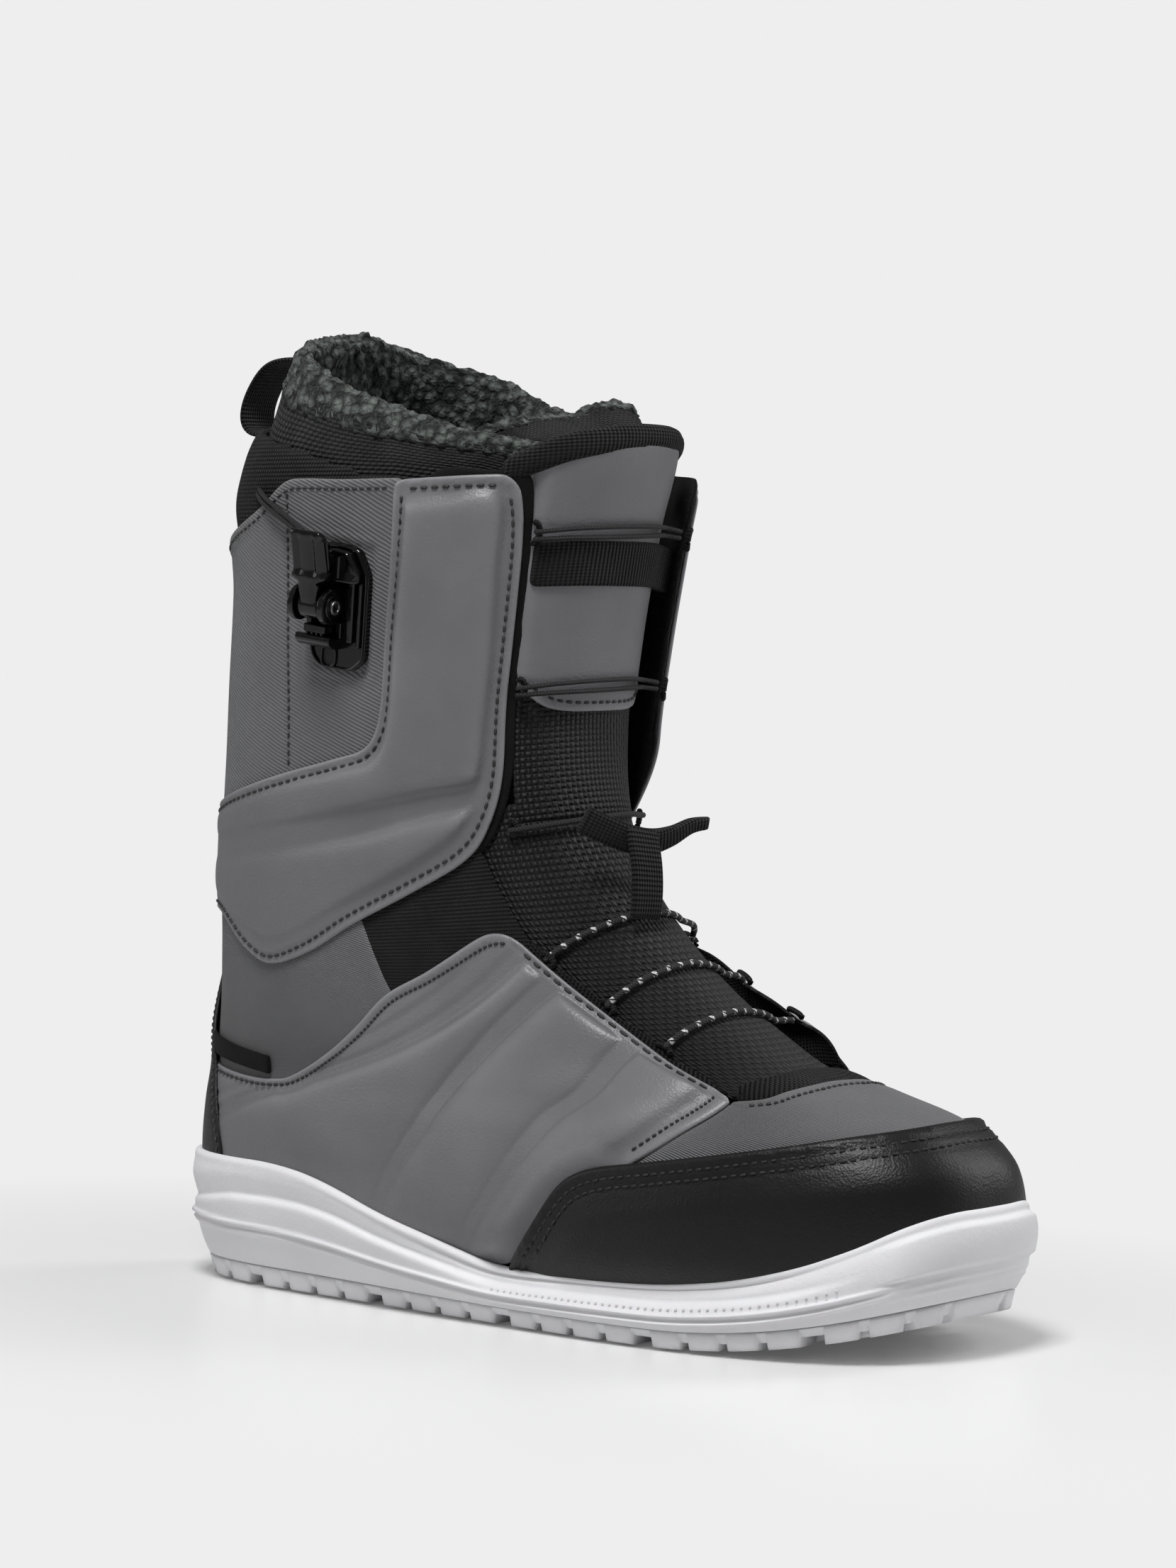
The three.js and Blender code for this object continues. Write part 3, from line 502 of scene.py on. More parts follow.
def twill():
    look = Look("grey_twill")
    look.set("Specular IOR Level", 0.25)
    across, up = look.cloth_axes()
    wobble = look.math("MULTIPLY", look.noise(9, 2), 0.0006)
    diagonal = look.math("ADD", look.math("MULTIPLY", across, 0.5), look.math("MULTIPLY", up, 0.866))
    rib = look.wave(look.math("ADD", diagonal, wobble), 1.05)
    cross = look.wave(look.math("SUBTRACT", across, up), 0.55)
    base = look.drift(30, grey(106, TWILL_TINT), grey(114, TWILL_TINT))[1]
    base = look.mix(look.spread(rib, -1, 0.2, 0.55, 0), base, grey(66))
    base = look.mix(look.math("MULTIPLY", look.edges(), 0.4), base, grey(140))
    look.set("Base Color", base)
    look.set("Roughness", 0.62)
    look.set("Sheen Weight", 0.15)
    under = look.bump(rib, 0.16)
    under = look.bump(cross, 0.03, under)
    look.bump(look.noise(0.5, 2), 0.04, under)
    return look.material


def weave(name, level, pitch, depth, rough=0.85, sheen=0.05, shine=FABRIC_SHINE):
    """Plain weave: threads of both directions rise over each other in turn."""
    look = Look(name, rough)
    look.set("Specular IOR Level", shine)
    across, up = look.cloth_axes()
    a = look.wave(across, pitch * 2)
    b = look.wave(up, pitch * 2)
    over = look.math("GREATER_THAN", look.math("MULTIPLY", a, b), 0)
    a, b = look.math("ABSOLUTE", a), look.math("ABSOLUTE", b)
    warp = look.math("MULTIPLY", look.math("POWER", a, 0.3), b)
    weft = look.math("MULTIPLY", look.math("POWER", b, 0.3), a)
    height = look.math("ADD", look.math("MULTIPLY", over, warp),
                       look.math("MULTIPLY", look.math("SUBTRACT", 1.0, over), weft))
    base = look.drift(14, grey(level * 0.85), grey(level * 1.2, (1.03, 1, 0.97)))[1]
    base = look.mix(look.spread(height, 0.1, 0.9, 0.8, 0), base, grey(level * 0.35))
    look.set("Base Color", base)
    look.set("Sheen Weight", sheen)
    look.set("Sheen Roughness", 0.4)
    under = look.bump(height, depth)
    look.bump(look.noise(0.4, 2), 0.05, under)
    return look.material


def ribbed(name, level, pitch, depth, rough=0.8, along=False):
    """Webbing or elastic with fine ribs."""
    look = Look(name, rough)
    look.set("Specular IOR Level", FABRIC_SHINE)
    across, up = look.cloth_axes()
    rib = look.wave(up if along else across, pitch)
    cross = look.wave(across if along else up, pitch * 0.7)
    base = look.drift(10, grey(level * 0.85), grey(level * 1.2), (0.3, 0.75))[1]
    base = look.mix(look.spread(rib, -1, 0.6, 0.75, 0), base, grey(level * 0.35))
    look.set("Base Color", base)
    look.set("Sheen Weight", 0.05)
    under = look.bump(rib, depth)
    under = look.bump(cross, depth * 0.35, under)
    look.bump(look.noise(0.35, 2), 0.05, under)
    return look.material


def knit(name, level, pitch, round_leg=False):
    look = Look(name, 0.9)
    look.set("Specular IOR Level", FABRIC_SHINE)
    across, up = look.leg_axes() if round_leg else look.cloth_axes()
    row = look.wave(up, pitch * 2)
    shifted = look.math("ADD", across, look.math("MULTIPLY", look.math("SIGN", row), pitch * MM / 4))
    loop = look.math("MULTIPLY", look.math("ABSOLUTE", look.wave(shifted, pitch * 2)),
                     look.math("ABSOLUTE", row))
    base = look.drift(12, grey(level * 0.8), grey(level * 1.2))[1]
    base = look.mix(look.spread(loop, 0.0, 0.7, 0.8, 0), base, grey(level * 0.3))
    look.set("Base Color", base)
    look.set("Sheen Weight", 0.05)
    under = look.bump(loop, 0.8)
    look.bump(look.noise(0.4, 3), 0.12, under)
    return look.material


def fleece():
    look = Look("fleece", 0.95)
    look.set("Specular IOR Level", FABRIC_SHINE)
    tips_and_highlight = look.noise(0.9, 4, 0.7)
    base = look.drift(7, grey(84, (0.92, 1.05, 0.98)), grey(118, (0.93, 1.04, 0.97)), (0.25, 0.75))[1]
    # painted highlight: the raised fibre tips are lightened
    base = look.mix(look.spread(tips_and_highlight, 0.5, 0.75, 0, 0.6), base, grey(128, (0.94, 1.03, 0.98)))
    # painted shade: darker in the creases, where the surface is hollow
    base = look.mix(look.spread(look.edges(0.40, 0.50), 0, 1, 0.75, 0), base, grey(24, (0.92, 1.05, 0.98)))
    lumps = look.cells(3.3)
    # painted shade: darker in the hollows between the lumps
    base = look.mix(look.spread(lumps, 0.30, 0.62, 0, 0.85), base, grey(20, (0.92, 1.05, 0.98)))
    look.set("Base Color", base)
    look.set("Sheen Weight", 0.15)
    look.set("Sheen Roughness", 0.5)
    under = look.bump(look.math("SUBTRACT", 1.0, lumps), 2.2)
    under = look.bump(look.cells(1.1), 0.5, under)
    look.bump(tips_and_highlight, 0.5, under)
    return look.material


def rubber():
    look = Look("sole_rubber")
    tone, base = look.drift(45, grey(232, (0.985, 0.98, 1.01)), grey(238, (0.99, 0.985, 1.01)), detail=4)
    dust = look.noise(6, 6, 0.7)
    base = look.mix(look.spread(dust, 0.62, 0.85, 0, 0.25), base, grey(205, (1, 0.98, 0.98)))
    # painted shade: darker where the surface is hollow, in the grooves and the gaps between the lugs
    base = look.mix(look.spread(look.edges(0.42, 0.49), 0, 1, 0.35, 0), base, grey(150, (1, 0.99, 1.02)))
    look.set("Base Color", base)
    look.set("Roughness", look.spread(tone, 0.2, 0.8, 0.5, 0.62))
    look.set("Subsurface Weight", 0.06)
    look.set("Subsurface Scale", 0.002)
    under = look.bump(look.noise(0.7, 3), 0.10)
    look.bump(look.cells(1.4), 0.05, under)
    return look.material


def plastic(name="black_plastic", level=5, rough=0.09):
    look = Look(name)
    scuffs = look.noise(3.5, 6, 0.75)
    base = look.mix(look.math("MULTIPLY", look.edges(0.52, 0.60), 0.3), grey(level), grey(level + 30))
    look.set("Base Color", base)
    look.set("Roughness", look.spread(scuffs, 0.3, 0.75, rough - 0.03, rough + 0.10))
    look.set("Specular IOR Level", 0.42)
    look.bump(look.noise(0.25, 2), 0.015)
    return look.material


def metal():
    look = Look("steel", 0.35, 1.0)
    brushed = look.noise(0.8, 5, 0.7)
    look.set("Base Color", look.colours(brushed, (0.3, grey(96)), (0.7, grey(140))))
    look.set("Roughness", look.spread(brushed, 0.3, 0.7, 0.28, 0.45))
    look.bump(brushed, 0.02)
    return look.material


def cord_look(name, level, flecks):
    """Braided cord: diagonal strands both ways round, with light flecks on the reflective one."""
    look = Look(name, 0.7)
    around, along = look.cloth_axes()
    one = look.wave(look.math("ADD", around, along), 1.1)
    two = look.wave(look.math("SUBTRACT", around, along), 1.1)
    braid = look.math("MAXIMUM", one, two)
    base = look.mix(look.spread(braid, -0.4, 0.9, 0.8, 0), grey(level * 1.6), grey(level * 0.4))
    if flecks:
        step = look.math("FRACT", look.math("MULTIPLY", along, 1 / (5.2 * MM)))
        row = look.math("LESS_THAN", look.math("ABSOLUTE", look.math("SUBTRACT", step, 0.5)), 0.14)
        strand = look.math("GREATER_THAN", look.wave(look.math("ADD", around, along), 2.1), -0.25)
        base = look.mix(look.math("MULTIPLY", row, strand), base, grey(225))
    look.set("Base Color", base)
    look.bump(braid, 0.16)
    return look.material


def thread(name, dark, light):
    look = Look(name, 0.6)
    strand = look.wave(look.noise(0.9, 1), 500)
    look.set("Base Color", look.mix(look.noise(2.0, 3), grey(dark), grey(light)))
    look.bump(look.math("ADD", look.noise(0.25, 2), strand), 0.05)
    return look.material


def board():
    look = Look("board", 0.9)
    fibre = look.noise(1.2, 6, 0.75)
    dark, light = grey(150, (1.1, 0.95, 0.7)), grey(190, (1.1, 0.95, 0.72))
    look.set("Base Color", look.colours(fibre, (0.3, dark), (0.7, light)))
    look.bump(fibre, 0.12)
    return look.material


GREY_TINT = (0.985, 0.985, 1.045)
LOOKS = {
    "grey_leather": leather("grey_leather", 107, GREY_TINT, 0.75, 0.42, 0.35, 0.55),
    "black_leather": leather("black_leather", 17, (1.03, 0.97, 1.03), 0.7, 0.40, 0.2, 0.28),
    "grey_twill": twill(),
    "ballistic": weave("ballistic", 25, 1.8, 1.0, 0.55, shine=0.3),
    "lining": weave("lining", 26, 0.6, 0.12),
    "webbing": ribbed("webbing", 34, 1.5, 0.45),
    "binding": ribbed("binding", 38, 1.5, 0.5),
    "elastic": ribbed("elastic", 36, 1.15, 0.3, along=True),
    "knit": knit("knit", 48, 2.1),
    "collar": knit("collar", 40, 1.3, round_leg=True),
    "fleece": fleece(),
    "rubber": rubber(),
    "plastic": plastic(),
    "label": weave("label", 16, 0.5, 0.08),
    "shadow": plastic("shadow", 6, 0.6),
    "steel": metal(),
    "cord": cord_look("cord", 19, False),
    "reflective_cord": cord_look("reflective_cord", 26, True),
    "thread": thread("thread", 26, 52),
    "black_thread": thread("black_thread", 16, 36),
    "board": board(),
}


# ---- sheets: pieces of leather and cloth on the form ----
EDGE_RINGS = (0.0, 0.35, 0.95)      # rings of mesh points inside a cut edge
EDGE_ROUND = 0.95                   # the edge is rounded over this width
EDGE_DROP = 0.45                    # and drops by this part of the thickness
CREASE_ROW = 0.45                   # mesh rows on either side of a crease's edge
CREASE_CLEAR = 1.05                 # and how far the rest of the mesh keeps away from it
EDGE_JUMP = 8                       # a run of one edge that has a gap this wide starts after it


class Sheet:
    """A piece of leather or cloth cut to an outline on the form.

    edges is a closed run of open edges, each a list of (u, v). base is the height of its face over the form,
    thickness its thickness, relief a function of (sheet, flat points, u, v, edge distance) that adds to the
    face's height, and shift a function of (u, v) that moves face and back alike. creases are lines of (u, v)
    and a half width: the mesh follows both sides of each, so that the relief can turn sharply there."""

    def __init__(self, edges, base=0.0, thickness=1.4, spacing=1.7, relief=None, corner=1.6, shift=None,
                 creases=()):
        self.base, self.thickness, self.relief = base, thickness, relief
        self.shift = shift or (lambda u, v: 0.0)
        every = np.concatenate([np.asarray(e, float) for e in edges])
        self.unit = form.width_at(every[:, 1].mean())
        runs = [evenly(self.flat(spline(e)), 1.0)[:-1] for e in edges]
        self.edge_of = np.concatenate([np.full(len(r), k) for k, r in enumerate(runs)])
        loop = blurred(np.concatenate(runs), corner)
        turn = np.sum(loop[:, 0] * np.roll(loop[:, 1], -1) - loop[:, 1] * np.roll(loop[:, 0], -1))
        if turn < 0:
            loop, self.edge_of = loop[::-1], self.edge_of[::-1]
        self.loop = loop
        self.spacing = spacing
        self.creases = [(self.centre(line), half) for line, half in creases]

    def centre(self, line):
        """A crease's centre line on the flat sheet, smooth and evenly spaced."""
        return blurred(evenly(self.flat(spline(line)), 1.0), 4, closed=False)

    def flat(self, uv):
        uv = np.asarray(uv, float)
        return np.stack([uv[..., 0] * self.unit, form.height_at(uv[..., 1])], -1)

    def unflat(self, points):
        return points[..., 0] / self.unit, form.level_at(points[..., 1])

    def inward(self):
        return left_of(np.roll(self.loop, -1, axis=0) - np.roll(self.loop, 1, axis=0))

    def edge_distance(self, points):
        return distance_to(points, np.concatenate([self.loop, self.loop[:1]]))[0]

    def gap_to(self, points, edge):
        """Distance to one edge of the outline."""
        return distance_to(points, self.run_of(edge))[0]

    def run_of(self, edge):
        line = self.loop[self.edge_of == edge]
        jump = np.linalg.norm(np.diff(line, axis=0), axis=1)
        return np.roll(line, -(int(jump.argmax()) + 1), axis=0) if jump.max() > EDGE_JUMP else line

    def height(self, points, edge=None):
        """Height of the face over the form at flat points."""
        u, v = self.unflat(points)
        edge = self.edge_distance(points) if edge is None else edge
        height = self.base + self.shift(u, v) + np.zeros(len(points))
        if self.relief:
            height += self.relief(self, points, u, v, edge)
        lip = np.clip(1 - edge / EDGE_ROUND, 0, 1)
        return height - EDGE_DROP * self.thickness * (1 - np.sqrt(1 - lip ** 2))

    def build(self, name, look):
        normal = self.inward()
        rings = [self.loop]
        for depth in EDGE_RINGS[1:]:
            ring = self.loop + normal * depth
            rings.append(ring[self.edge_distance(ring) > depth * 0.85])
        low, high = self.loop.min(0), self.loop.max(0)
        s = self.spacing
        ys = np.arange(low[1] + s / 2, high[1], s * 0.87)
        xs = np.arange(low[0], high[0] + s, s)
        field = np.array([(x + (s / 2 if j % 2 else 0), y) for j, y in enumerate(ys) for x in xs])
        field = field[inside(field, self.loop)]
        field = field[self.edge_distance(field) > EDGE_RINGS[-1] + 0.45 * s]
        for line, half in self.creases:
            gap = distance_to(field, line)[0]
            field = field[np.abs(gap - half) > CREASE_CLEAR]
            aside = left_of(np.gradient(line, axis=0))
            for offset in [edge + step for edge in (-half, half) for step in (-CREASE_ROW, 0, CREASE_ROW)]:
                row = line + aside * offset
                row = row[inside(row, self.loop)]
                rings.append(row[self.edge_distance(row) > EDGE_RINGS[-1] + 0.5])
        points = np.concatenate(rings + [field])
        count = len(self.loop)
        flat, _, faces, _, _, _ = delaunay_2d_cdt(
            [Vector(p) for p in points], [], [list(range(count))], 1, 1e-6)
        flat = np.array([tuple(p) for p in flat])
        faces = [tuple(f) for f in faces]
        u, v = self.unflat(flat)
        face = form.at(u, v, self.height(flat))
        back = form.at(u, v, self.base - self.thickness + self.shift(u, v) + np.zeros(len(flat)))
        total = len(flat)
        solid = list(faces) + [tuple(total + i for i in reversed(f)) for f in faces]
        uses = {}
        for f in faces:
            for a, b in zip(f, f[1:] + f[:1]):
                uses[(a, b)] = True
        for a, b in uses:
            if (b, a) not in uses:
                solid.append((b, a, a + total, b + total))
        uv = np.stack([u * form.width_at(v), flat[:, 1]], -1)
        return mesh_object(name, np.concatenate([face, back]), solid, look, np.concatenate([uv, uv]))

    def seam(self, edge, inset, trim=2):
        """The flat line that runs inside one edge of the outline."""
        line = self.run_of(edge)
        line = line + left_of(np.gradient(line, axis=0)) * inset
        line = line[self.edge_distance(line) > inset * 0.9]
        return line[trim:len(line) - trim] if len(line) > 2 * trim + 2 else line


STITCH_PITCH, STITCH_LENGTH, STITCH_RADIUS = 3.3, 2.5, 0.50
STITCH_LIFT = 0.30                  # how far a stitch's middle stands over the face
STITCH_SIDES, STITCH_STATIONS = 6, np.linspace(-1, 1, 7)


def stitches(name, sheet, lines, body, look="thread", pitch=STITCH_PITCH, radius=STITCH_RADIUS):
    """Short thread lengths along flat lines, each sunk at both ends."""
    points, faces = [], []
    for line in lines:
        if len(line) < 3:
            continue
        run = evenly(np.asarray(line, float), pitch)
        for a, b in zip(run[:-1], run[1:]):
            middle, step = (a + b) / 2, (b - a)
            step = step / (np.linalg.norm(step) + 1e-9) * STITCH_LENGTH / 2 * pitch / STITCH_PITCH
            flat = middle + STITCH_STATIONS[:, None] * step
            u, v = sheet.unflat(flat)
            up = form.out(u, v)
            arc = STITCH_LIFT - 0.85 * radius * STITCH_STATIONS ** 4
            centre = form.on(u, v) + up * (sheet.height(flat) + arc)[:, None]
            across = np.cross(unit(np.gradient(centre, axis=0)), up)
            girth = radius * np.sqrt(np.clip(1.06 - STITCH_STATIONS ** 6, 0.06, 1))
            start = len(points)
            for k in range(len(STITCH_STATIONS)):
                for m in range(STITCH_SIDES):
                    t = 2 * np.pi * m / STITCH_SIDES
                    points.append(centre[k] + girth[k] * (np.cos(t) * across[k] + np.sin(t) * up[k]))
            faces += grid_faces(len(STITCH_STATIONS), STITCH_SIDES, True, start)
            faces += end_faces(len(STITCH_STATIONS), STITCH_SIDES, start)
    return install(mesh_object(name, points, faces, LOOKS[look]), None, body)


def attach(piece, body):
    """Soft pieces of the foot and the cuff, and those of the upper tongue, have their place baked into their
    mesh. Others ride on their body."""
    if body == "flex":
        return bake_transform(piece)
    if body == "upper_tongue":
        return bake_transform(piece)
    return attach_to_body(piece, body)


def install(piece, node, body="flex"):
    """Hides the CAD node that the piece stands for, if any, and attaches the piece to what it moves with."""
    if node:
        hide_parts(node)
    return attach(piece, body)


def sew(sheet, name, look, node, body="flex"):
    """Builds a sheet, and installs it."""
    return install(sheet.build(name, LOOKS[look]), node, body)


def strip_between(low, high):
    """The closed outline of a strip between two open edges that run opposite ways."""
    return [low, [low[-1], high[0]], high, [high[-1], low[0]]]


def mirror(edge):
    """An open edge on the other side, run the other way."""
    return [(-u, v) for u, v in edge][::-1]


def across_front(edge):
    """An edge that ends on the front centre line, carried on over the other side."""
    return list(edge) + mirror(edge)[1:]


def sided(edge, side):
    return list(edge) if side == LATERAL else mirror(edge)


# ---- outlines, for the lateral side; the medial side is its mirror ----
CUFF_OUTER = [
    (-0.945, 7.38), (-0.812, 7.36), (-0.731, 6.68), (-0.681, 6.44), (-0.588, 6.64), (-0.488, 7.0),
    (-0.362, 7.36), (-0.256, 7.68), (-0.205, 8.02), (-0.173, 8.6), (-0.169, 9.6), (-0.169, 10.4),
    (-0.174, 11.1), (-0.190, 11.50),
]
CUFF_TOP = [(-0.205, 11.57), (-0.30, 11.64), (-0.376, 11.70)]
CUFF_INNER = [
    (-0.384, 11.70), (-0.378, 11.0), (-0.377, 10.2), (-0.378, 9.6), (-0.388, 9.28), (-0.412, 9.13),
    (-0.47, 9.09), (-0.581, 9.04), (-0.70, 8.97), (-0.812, 8.90), (-0.945, 8.86),
]
REAR_TOP = [
    (-0.372, 11.71), (-0.48, 11.83), (-0.56, 11.93), (-0.60, 11.93), (-0.67, 11.74), (-0.80, 11.62),
    (-0.945, 11.56),
]
REAR_FOOT = [(-0.945, 8.70), (-0.60, 8.86), (-0.40, 9.0), (-0.368, 9.2)]
VERTICAL_SEAM = [(-0.588, 11.85), (-0.581, 11.08), (-0.575, 10.4), (-0.569, 9.68), (-0.569, 9.10)]

QUARTER_TOP = [
    (-0.925, 4.14), (-0.825, 3.9), (-0.769, 3.9), (-0.738, 4.04), (-0.656, 4.72), (-0.575, 5.38),
    (-0.494, 5.96), (-0.40, 6.32), (-0.294, 6.70), (-0.255, 6.78), (-0.228, 6.74),
]
QUARTER_FRONT = [(-0.222, 6.68), (-0.195, 6.25), (-0.170, 5.75), (-0.156, 5.2), (-0.154, 4.6), (-0.156, 4.14)]
QUARTER_LOW_FRONT = [(-0.160, 4.06), (-0.25, 3.24), (-0.33, 2.40)]
QUARTER_FOOT = [(-0.345, 2.2), (-0.42, 1.6), (-0.48, 0.35), (-0.50, 0.05)]
QUARTER_SOLE = [(-0.52, 0.02), (-0.70, 0.5), (-0.90, 0.8)]
REAR_QUARTER_TOP = [(-0.945, 7.55), (-0.80, 7.5), (-0.70, 6.95), (-0.60, 6.95), (-0.47, 7.3)]
REAR_QUARTER_FOOT = [
    (-0.486, 5.80), (-0.575, 5.20), (-0.656, 4.54), (-0.738, 3.86), (-0.825, 3.7), (-0.925, 3.9),
]
# the centre lines of the flat bands between the quarter's pillows
CHANNELS = (
    [(-0.186, 6.26), (-0.265, 5.90), (-0.371, 5.26), (-0.475, 4.36), (-0.545, 3.44), (-0.60, 2.34),
     (-0.645, 1.2)],
    [(-0.146, 5.42), (-0.231, 4.90), (-0.330, 4.02), (-0.405, 3.27), (-0.455, 2.5), (-0.496, 1.64),
     (-0.545, 0.57)],
)
CHANNEL_HALF_WIDTH = 2.3
GUSSET_EDGE = [(-0.48, 5.75), (-0.40, 6.15), (-0.294, 6.5), (-0.205, 6.5)]
GUSSET_TOP = [(-0.215, 7.25), (-0.235, 7.9), (-0.32, 7.75), (-0.45, 7.4), (-0.50, 7.2)]
THROAT = [(-0.158, 4.08), (-0.120, 4.16), (-0.081, 4.36), (-0.04, 4.5), (0, 4.55)]
RAND_TOP = [
    (-0.490, 0.05), (-0.478, 0.5), (-0.456, 1.04), (-0.425, 1.72), (-0.40, 2.08), (-0.368, 2.28),
    (-0.319, 2.42), (-0.245, 2.62), (-0.175, 2.82), (-0.09, 3.05), (0, 3.16),
]
PILLOW = [
    (-0.362, 11.50), (-0.30, 11.47), (-0.214, 11.40), (-0.201, 10.7), (-0.196, 10.0), (-0.196, 9.3),
    (-0.203, 8.72), (-0.222, 8.57), (-0.294, 8.55), (-0.394, 8.52), (-0.488, 8.48), (-0.594, 8.46),
    (-0.75, 8.5), (-0.93, 8.52), (-0.93, 8.76), (-0.80, 8.80), (-0.581, 8.94), (-0.45, 8.99),
    (-0.39, 9.05), (-0.367, 9.4), (-0.364, 10.3),
]
LOWER_PILLOW = [
    (-0.216, 8.34), (-0.256, 8.31), (-0.325, 8.27), (-0.40, 8.20), (-0.475, 8.16), (-0.60, 8.14),
    (-0.80, 8.2), (-0.93, 8.22), (-0.93, 7.70), (-0.82, 7.66), (-0.70, 6.95), (-0.66, 6.82),
    (-0.588, 6.95), (-0.488, 7.28), (-0.375, 7.60), (-0.306, 7.80), (-0.244, 8.04),
]
STITCH_INSET = 3.0
THROAT_SEAM, BACKSTAY_SEAM, RAND_SEAMS = 2.6, 2.4, (3.7, 6.5)
CUFF_PADS = ((PILLOW, 3.3, 2.0), (LOWER_PILLOW, 3.0, 2.2))      # outline, how far it swells, how gently
# the quarter: how far it swells, how wide its flat border is, how gently it comes up from that
QUARTER_RISE, QUARTER_BORDER, QUARTER_REACH = 4.0, 6.5, 2.2
LOCK_WINDOW = (11.5, 20.5)      # half width and half height of the recess that the lock lies in


def signed(u):
    """The same place with u between -1 and 1."""
    return (np.asarray(u, float) + 1) % 2 - 1


def flare(u, v):
    """How far the free front edges of the cuff stand off the form: wide on the medial side."""
    u = signed(u)
    reach = np.where(u > 0, 10.0, 1.2)
    return reach * smoothstep(-np.abs(u), -0.36, -0.15) * smoothstep(v, 7.4, 9.0)


def throat_flare(u, v):
    """How far the medial quarter's edge stands off the tongue."""
    u = signed(u)
    rise = smoothstep(v, 4.0, 5.0) * smoothstep(-np.asarray(v), -7.6, -6.2)
    return np.where(u > 0, 10.5, 0.6) * smoothstep(-np.abs(u), -0.30, -0.16) * rise


def ridge(gap, rise, width):
    """A rounded ridge along the line where the gap is zero."""
    return rise * np.exp(-(gap / width) ** 2)


def groove(gap, depth, width):
    """A rounded groove along such a line."""
    return -ridge(gap, depth, width)


def crowned(u, rise, half):
    """A rise towards the front centre line that ends at half on either side."""
    return rise * np.clip(1 - (signed(u) / half) ** 2, 0, 1)


def puff(gap, rise, reach):
    """A padded face that comes up from its border."""
    return rise * (1 - np.exp(-np.clip(gap, 0, None) / reach))


def inside_gap(sheet, points, side, outline):
    """Distance inside a closed outline on the form, zero outside it."""
    loop = sheet.flat(spline(sided(outline, side) + [sided(outline, side)[0]]))
    return np.where(inside(points, loop[:-1]), distance_to(points, loop)[0], 0)


def stitched(sheet, points, edges, inset=STITCH_INSET, depth=0.35, width=0.9):
    """The shallow line that a row of stitches pulls into the face."""
    return sum(groove(np.abs(sheet.gap_to(points, k) - inset), depth, width) for k in edges)


def cuff_relief(side):
    def relief(sheet, points, u, v, edge):
        height = stitched(sheet, points, (0, 1, 2))
        # the pads thin out at the back
        fade = 0.18 + 0.82 * smoothstep(1 - np.abs(signed(u)), 0.36, 0.66)
        for outline, rise, reach in CUFF_PADS:
            gap = inside_gap(sheet, points, side, outline)
            height += puff(gap, rise, reach) * fade
        return height + 0.16 * value_noise(form.on(u, v), 34, 11)
    return relief


def quarter_relief(side):
    def relief(sheet, points, u, v, edge):
        border = np.minimum(sheet.gap_to(points, 0), sheet.gap_to(points, 1))
        border = np.minimum(border, sheet.gap_to(points, 2) + 1.5)
        level = puff(border - QUARTER_BORDER, 1, QUARTER_REACH)
        low = smoothstep(-np.asarray(v), -4.6, -1.0)        # the channels run out towards the sole
        for line, half in sheet.creases:
            gap, hand = distance_to(points, line)
            reach = np.where(hand < 0, 4.2, 2.6) + 3 * low
            beside = puff(gap - half, 1, reach)
            level *= beside + (1 - beside) * 0.4 * low
        level *= smoothstep(sheet.gap_to(points, 3), 1.0, 9.0) * smoothstep(v - sole_edge(u), -0.4, 1.4)
        level *= smoothstep(1 - np.abs(signed(u)), 0.08, 0.24)
        height = QUARTER_RISE * level + stitched(sheet, points, (0, 1, 2))
        return height + 0.14 * value_noise(form.on(u, v), 34, 12)
    return relief


def rand_relief(sheet, points, u, v, edge):
    top = sheet.gap_to(points, 0)
    height = ridge(top - 1.6, 0.7, 1.2) + groove(top - RAND_SEAMS[0], 0.6, 0.8)
    height += ridge(top - 5.1, 0.3, 0.8) + groove(top - RAND_SEAMS[1], 0.55, 0.8)
    toe = 1.1 * smoothstep(top, 7, 16)
    return height + toe + 0.16 * value_noise(form.on(u, v), 16, 13) * smoothstep(top, 7, 12)


def soft(amount, size, seed, edges=(), inset=STITCH_INSET, crown=0.0, half=0.17):
    """Plain cloth or leather: stitch lines at the given edges, a slight unevenness, and a crown in front."""
    def relief(sheet, points, u, v, edge):
        height = amount * value_noise(form.on(u, v), size, seed)
        height = height + crowned(u, crown, half)
        return height + stitched(sheet, points, edges, inset) if edges else height
    return relief


def named(side, name):
    return ("lateral_" if side == LATERAL else "medial_") + name


def rear_relief(side):
    def relief(sheet, points, u, v, edge):
        height = 0.18 * value_noise(form.on(u, v), 22, 14) + stitched(sheet, points, (0,))
        height += 0.45 * smoothstep(-sheet.gap_to(points, 0), -5.2, -4.6)
        seam, _ = distance_to(points, sheet.flat(spline(sided(VERTICAL_SEAM, side))))
        height += groove(seam, 0.35, 0.9)
        if side == LATERAL:
            x, y = lock_place(form.on(u, v))
            window = np.maximum(np.abs(x) - LOCK_WINDOW[0], np.abs(y) - LOCK_WINDOW[1])
            height += groove(window - 3.4, 0.3, 0.9) - 1.1 * smoothstep(-window, -1.2, 0.2)
        return height
    return relief


# ---- the lock's own frame: x forward, y up the cuff, z outwards ----
JOINTS = {joint["name"]: joint for joint in frame["joints"]}
LOCK_X = Vector(JOINTS["lever_open"]["axis"]).normalized()
LOCK_Y = Vector(JOINTS["jaw_release"]["axis"]).normalized()
LOCK_Z = LOCK_X.cross(LOCK_Y).normalized()
PIN = Vector((-3.5, 1.0, 8.5))          # the pin, from the middle of the base plate's face
LOCK_CENTRE = Vector(JOINTS["lever_open"]["pos_m"]) / MM - LOCK_X * PIN.x - LOCK_Y * PIN.y - LOCK_Z * PIN.z


def lock_place(points):
    """Points of the form, forward of the lock's centre and up from it."""
    away = np.asarray(points, float) - np.array(LOCK_CENTRE)
    return away @ np.array(LOCK_X), away @ np.array(LOCK_Y)


